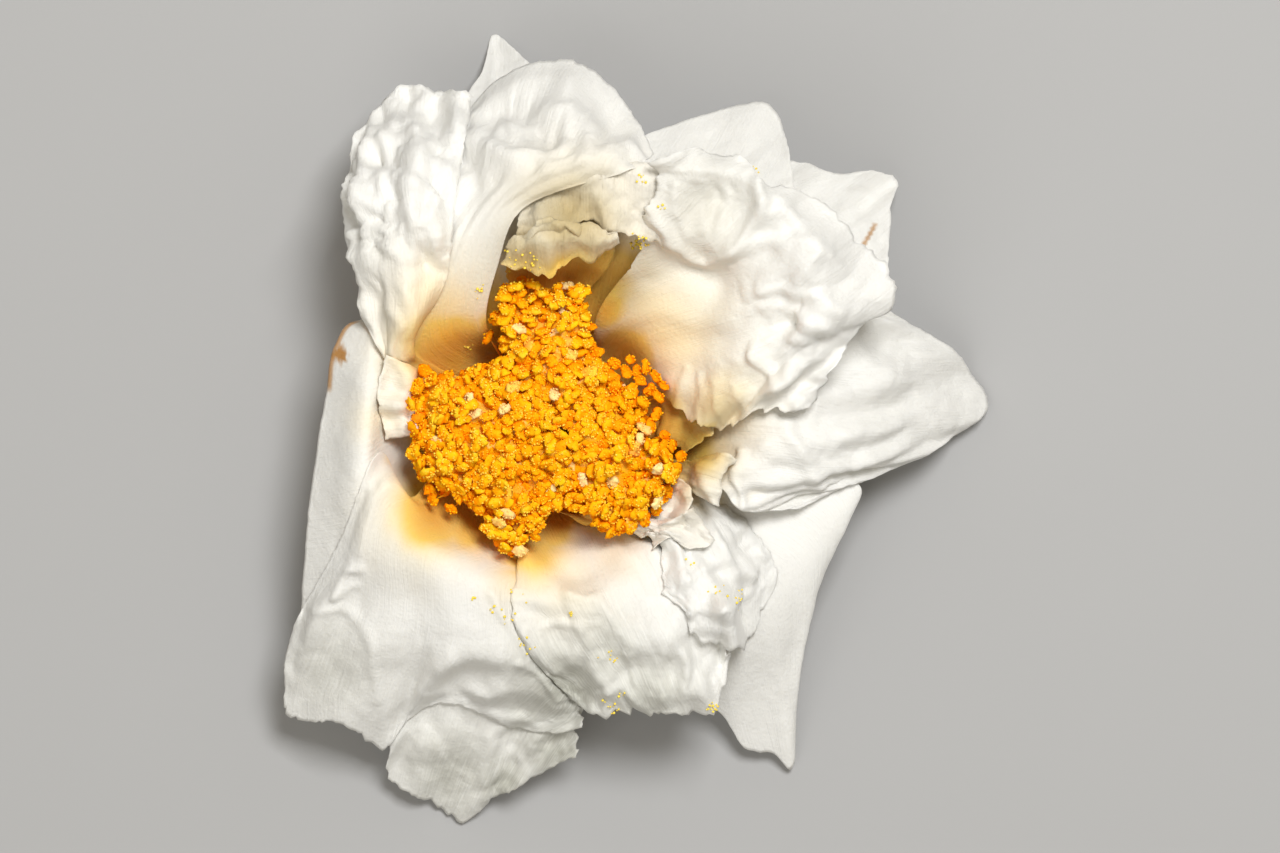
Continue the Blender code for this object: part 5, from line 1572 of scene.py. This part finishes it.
class CAMELLIA_OT_stamens(bpy.types.Operator):
    """Adds the mass of filaments and the anthers crowded over it"""
    bl_idname = "camellia.stamens"
    bl_label = "Add stamens"

    def execute(self, context):
        settings = context.scene.camellia_head
        heights = HeightMap(GRIDS.values())
        rng = np.random.default_rng(HEAD_SEED)
        middles, deep = anther_places(heights, settings.anther_wide / MM, rng)
        add_anthers(middles, deep, settings, rng)
        add_filaments(middles, heights, settings, rng)
        return {"FINISHED"}


class CAMELLIA_OT_pistil(bpy.types.Operator):
    """Adds the ovary and its slim style with a three-lobed tip"""
    bl_idname = "camellia.pistil"
    bl_label = "Add pistil"

    def execute(self, context):
        green = green_finish("pistil_pale", (0.66, 0.68, 0.34), (0.50, 0.52, 0.20, 1), 20.0)
        add_turned("pistil", PISTIL_PROFILE, 48, green, "pistil_green", 32.2, lobe=0.35)
        return {"FINISHED"}


class CAMELLIA_OT_pollen(bpy.types.Operator):
    """Adds the grains of pollen that lie on the petals"""
    bl_idname = "camellia.pollen"
    bl_label = "Add pollen"

    def execute(self, context):
        heights = HeightMap(GRIDS.values())
        rng = np.random.default_rng(4)
        middles = np.concatenate([
            np.stack([x + rng.normal(0, reach, count), y + rng.normal(0, reach, count),
                      np.zeros(count)], axis=1) for x, y, reach, count in POLLEN])
        middles[:, 2] = heights.top[heights.cells(middles)] + 0.22
        form, faces = anther_form(6, 5)
        up = np.array([0, 0, 1.0]) + rng.normal(0, 0.2, middles.shape)
        along = unit(directions(rng, up))
        size = rng.uniform(0.1, 0.24, (len(middles), 1)) * (1.1, 1.0, 0.6)
        points, faces = scattered(form, faces, middles, along, up, size)
        points = points.reshape(-1, 3)
        welded(add_piece("pollen", points, faces,
                         anther_finish("pollen_dust", context.scene.camellia_head),
                         "anther_gold", hue=np.full(len(points), 0.5), deep=np.zeros(len(points))))
        return {"FINISHED"}


class CAMELLIA_OT_stage(bpy.types.Operator):
    """Adds the floor, the soft lights and the camera"""
    bl_idname = "camellia.stage"
    bl_label = "Add stage"

    def execute(self, context):
        settings = context.scene.camellia_stage
        self.floor(context, settings)
        self.light(context, "key", KEY_AT, KEY_SIZE, settings.key)
        self.light(context, "fill", FILL_AT, FILL_SIZE, settings.key * FILL_SHARE)
        context.scene.view_settings.view_transform = "Standard"
        world = bpy.data.worlds.new("studio")
        world.use_nodes = True
        Nodes(world.node_tree).feed(world.node_tree.nodes["Background"],
                                    {"Color": SKY, "Strength": SKY_STRENGTH})
        context.scene.world = world
        lens = bpy.data.cameras.new("camera")
        lens.sensor_width = 36.0
        lens.lens = lens.sensor_width * (settings.distance - VIEW_LEVEL) / VIEW_WIDTH
        lens.clip_start = 0.05
        camera = bpy.data.objects.new("camera", lens)
        camera.location = ((VIEW_MIDDLE[0] + SHIFT[0]) * MM, (VIEW_MIDDLE[1] + SHIFT[1]) * MM,
                           settings.distance)
        context.scene.collection.objects.link(camera)
        context.scene.camera = camera
        return {"FINISHED"}

    def floor(self, context, settings):
        """A pale floor, faintly clouded."""
        made, nodes, where, feed = new_finish("floor_pale", Roughness=0.9)
        cloud = nodes.math("MULTIPLY", nodes.noise(where["Object"], 40.0), 0.06)
        feed(Base_Color=nodes.blend(cloud, tuple(settings.floor) + (1,), (0.3, 0.3, 0.3, 1)))
        mesh = bpy.data.meshes.new("floor")
        mesh.from_pydata([(-4, -4, 0), (4, -4, 0), (4, 4, 0), (-4, 4, 0)], [], [(0, 1, 2, 3)])
        floor = bpy.data.objects.new("floor", mesh)
        mesh.materials.append(made)
        context.scene.collection.objects.link(floor)

    def light(self, context, name, place, size, power):
        """A square area light that faces the flower."""
        lamp = bpy.data.lights.new(name, "AREA")
        lamp.size = size
        lamp.energy = power
        obj = bpy.data.objects.new(name, lamp)
        obj.location = place
        towards = Vector((0, 0, 0.02)) - obj.location
        obj.rotation_euler = towards.to_track_quat("-Z", "Y").to_euler()
        context.scene.collection.objects.link(obj)


class CAMELLIA_PT_panel(bpy.types.Panel):
    """Lists the settings and the steps of the camellia"""
    bl_idname = "CAMELLIA_PT_panel"
    bl_label = "White camellia"
    bl_space_type = "VIEW_3D"
    bl_region_type = "UI"
    bl_category = "Camellia"

    def draw(self, context):
        layout = self.layout
        for title, group in (("Petals", "camellia_petals"), ("Stamens", "camellia_head"),
                             ("Calyx", "camellia_calyx"), ("Stage", "camellia_stage")):
            box = layout.box()
            box.label(text=title)
            held = getattr(context.scene, group)
            for key in held.__annotations__:
                box.prop(held, key)
        for step in STEPS:
            layout.operator(f"camellia.{step}")


STEPS = ("calyx", "petals", "petaloids", "stamens", "pistil", "pollen", "stage")
GROUPS = {"camellia_petals": CamelliaPetals, "camellia_head": CamelliaHead,
          "camellia_calyx": CamelliaCalyx, "camellia_stage": CamelliaStage}
CLASSES = (*GROUPS.values(), CAMELLIA_OT_calyx, CAMELLIA_OT_petals, CAMELLIA_OT_petaloids,
           CAMELLIA_OT_stamens, CAMELLIA_OT_pistil, CAMELLIA_OT_pollen, CAMELLIA_OT_stage,
           CAMELLIA_PT_panel)


def register():
    for made in CLASSES:
        bpy.utils.register_class(made)
    for name, group in GROUPS.items():
        setattr(bpy.types.Scene, name, PointerProperty(type=group))


def unregister():
    for name in GROUPS:
        delattr(bpy.types.Scene, name)
    for made in reversed(CLASSES):
        bpy.utils.unregister_class(made)


def main():
    register()
    build_groups()
    for step in STEPS:
        getattr(bpy.ops.camellia, step)()


if __name__ == "__main__":
    main()
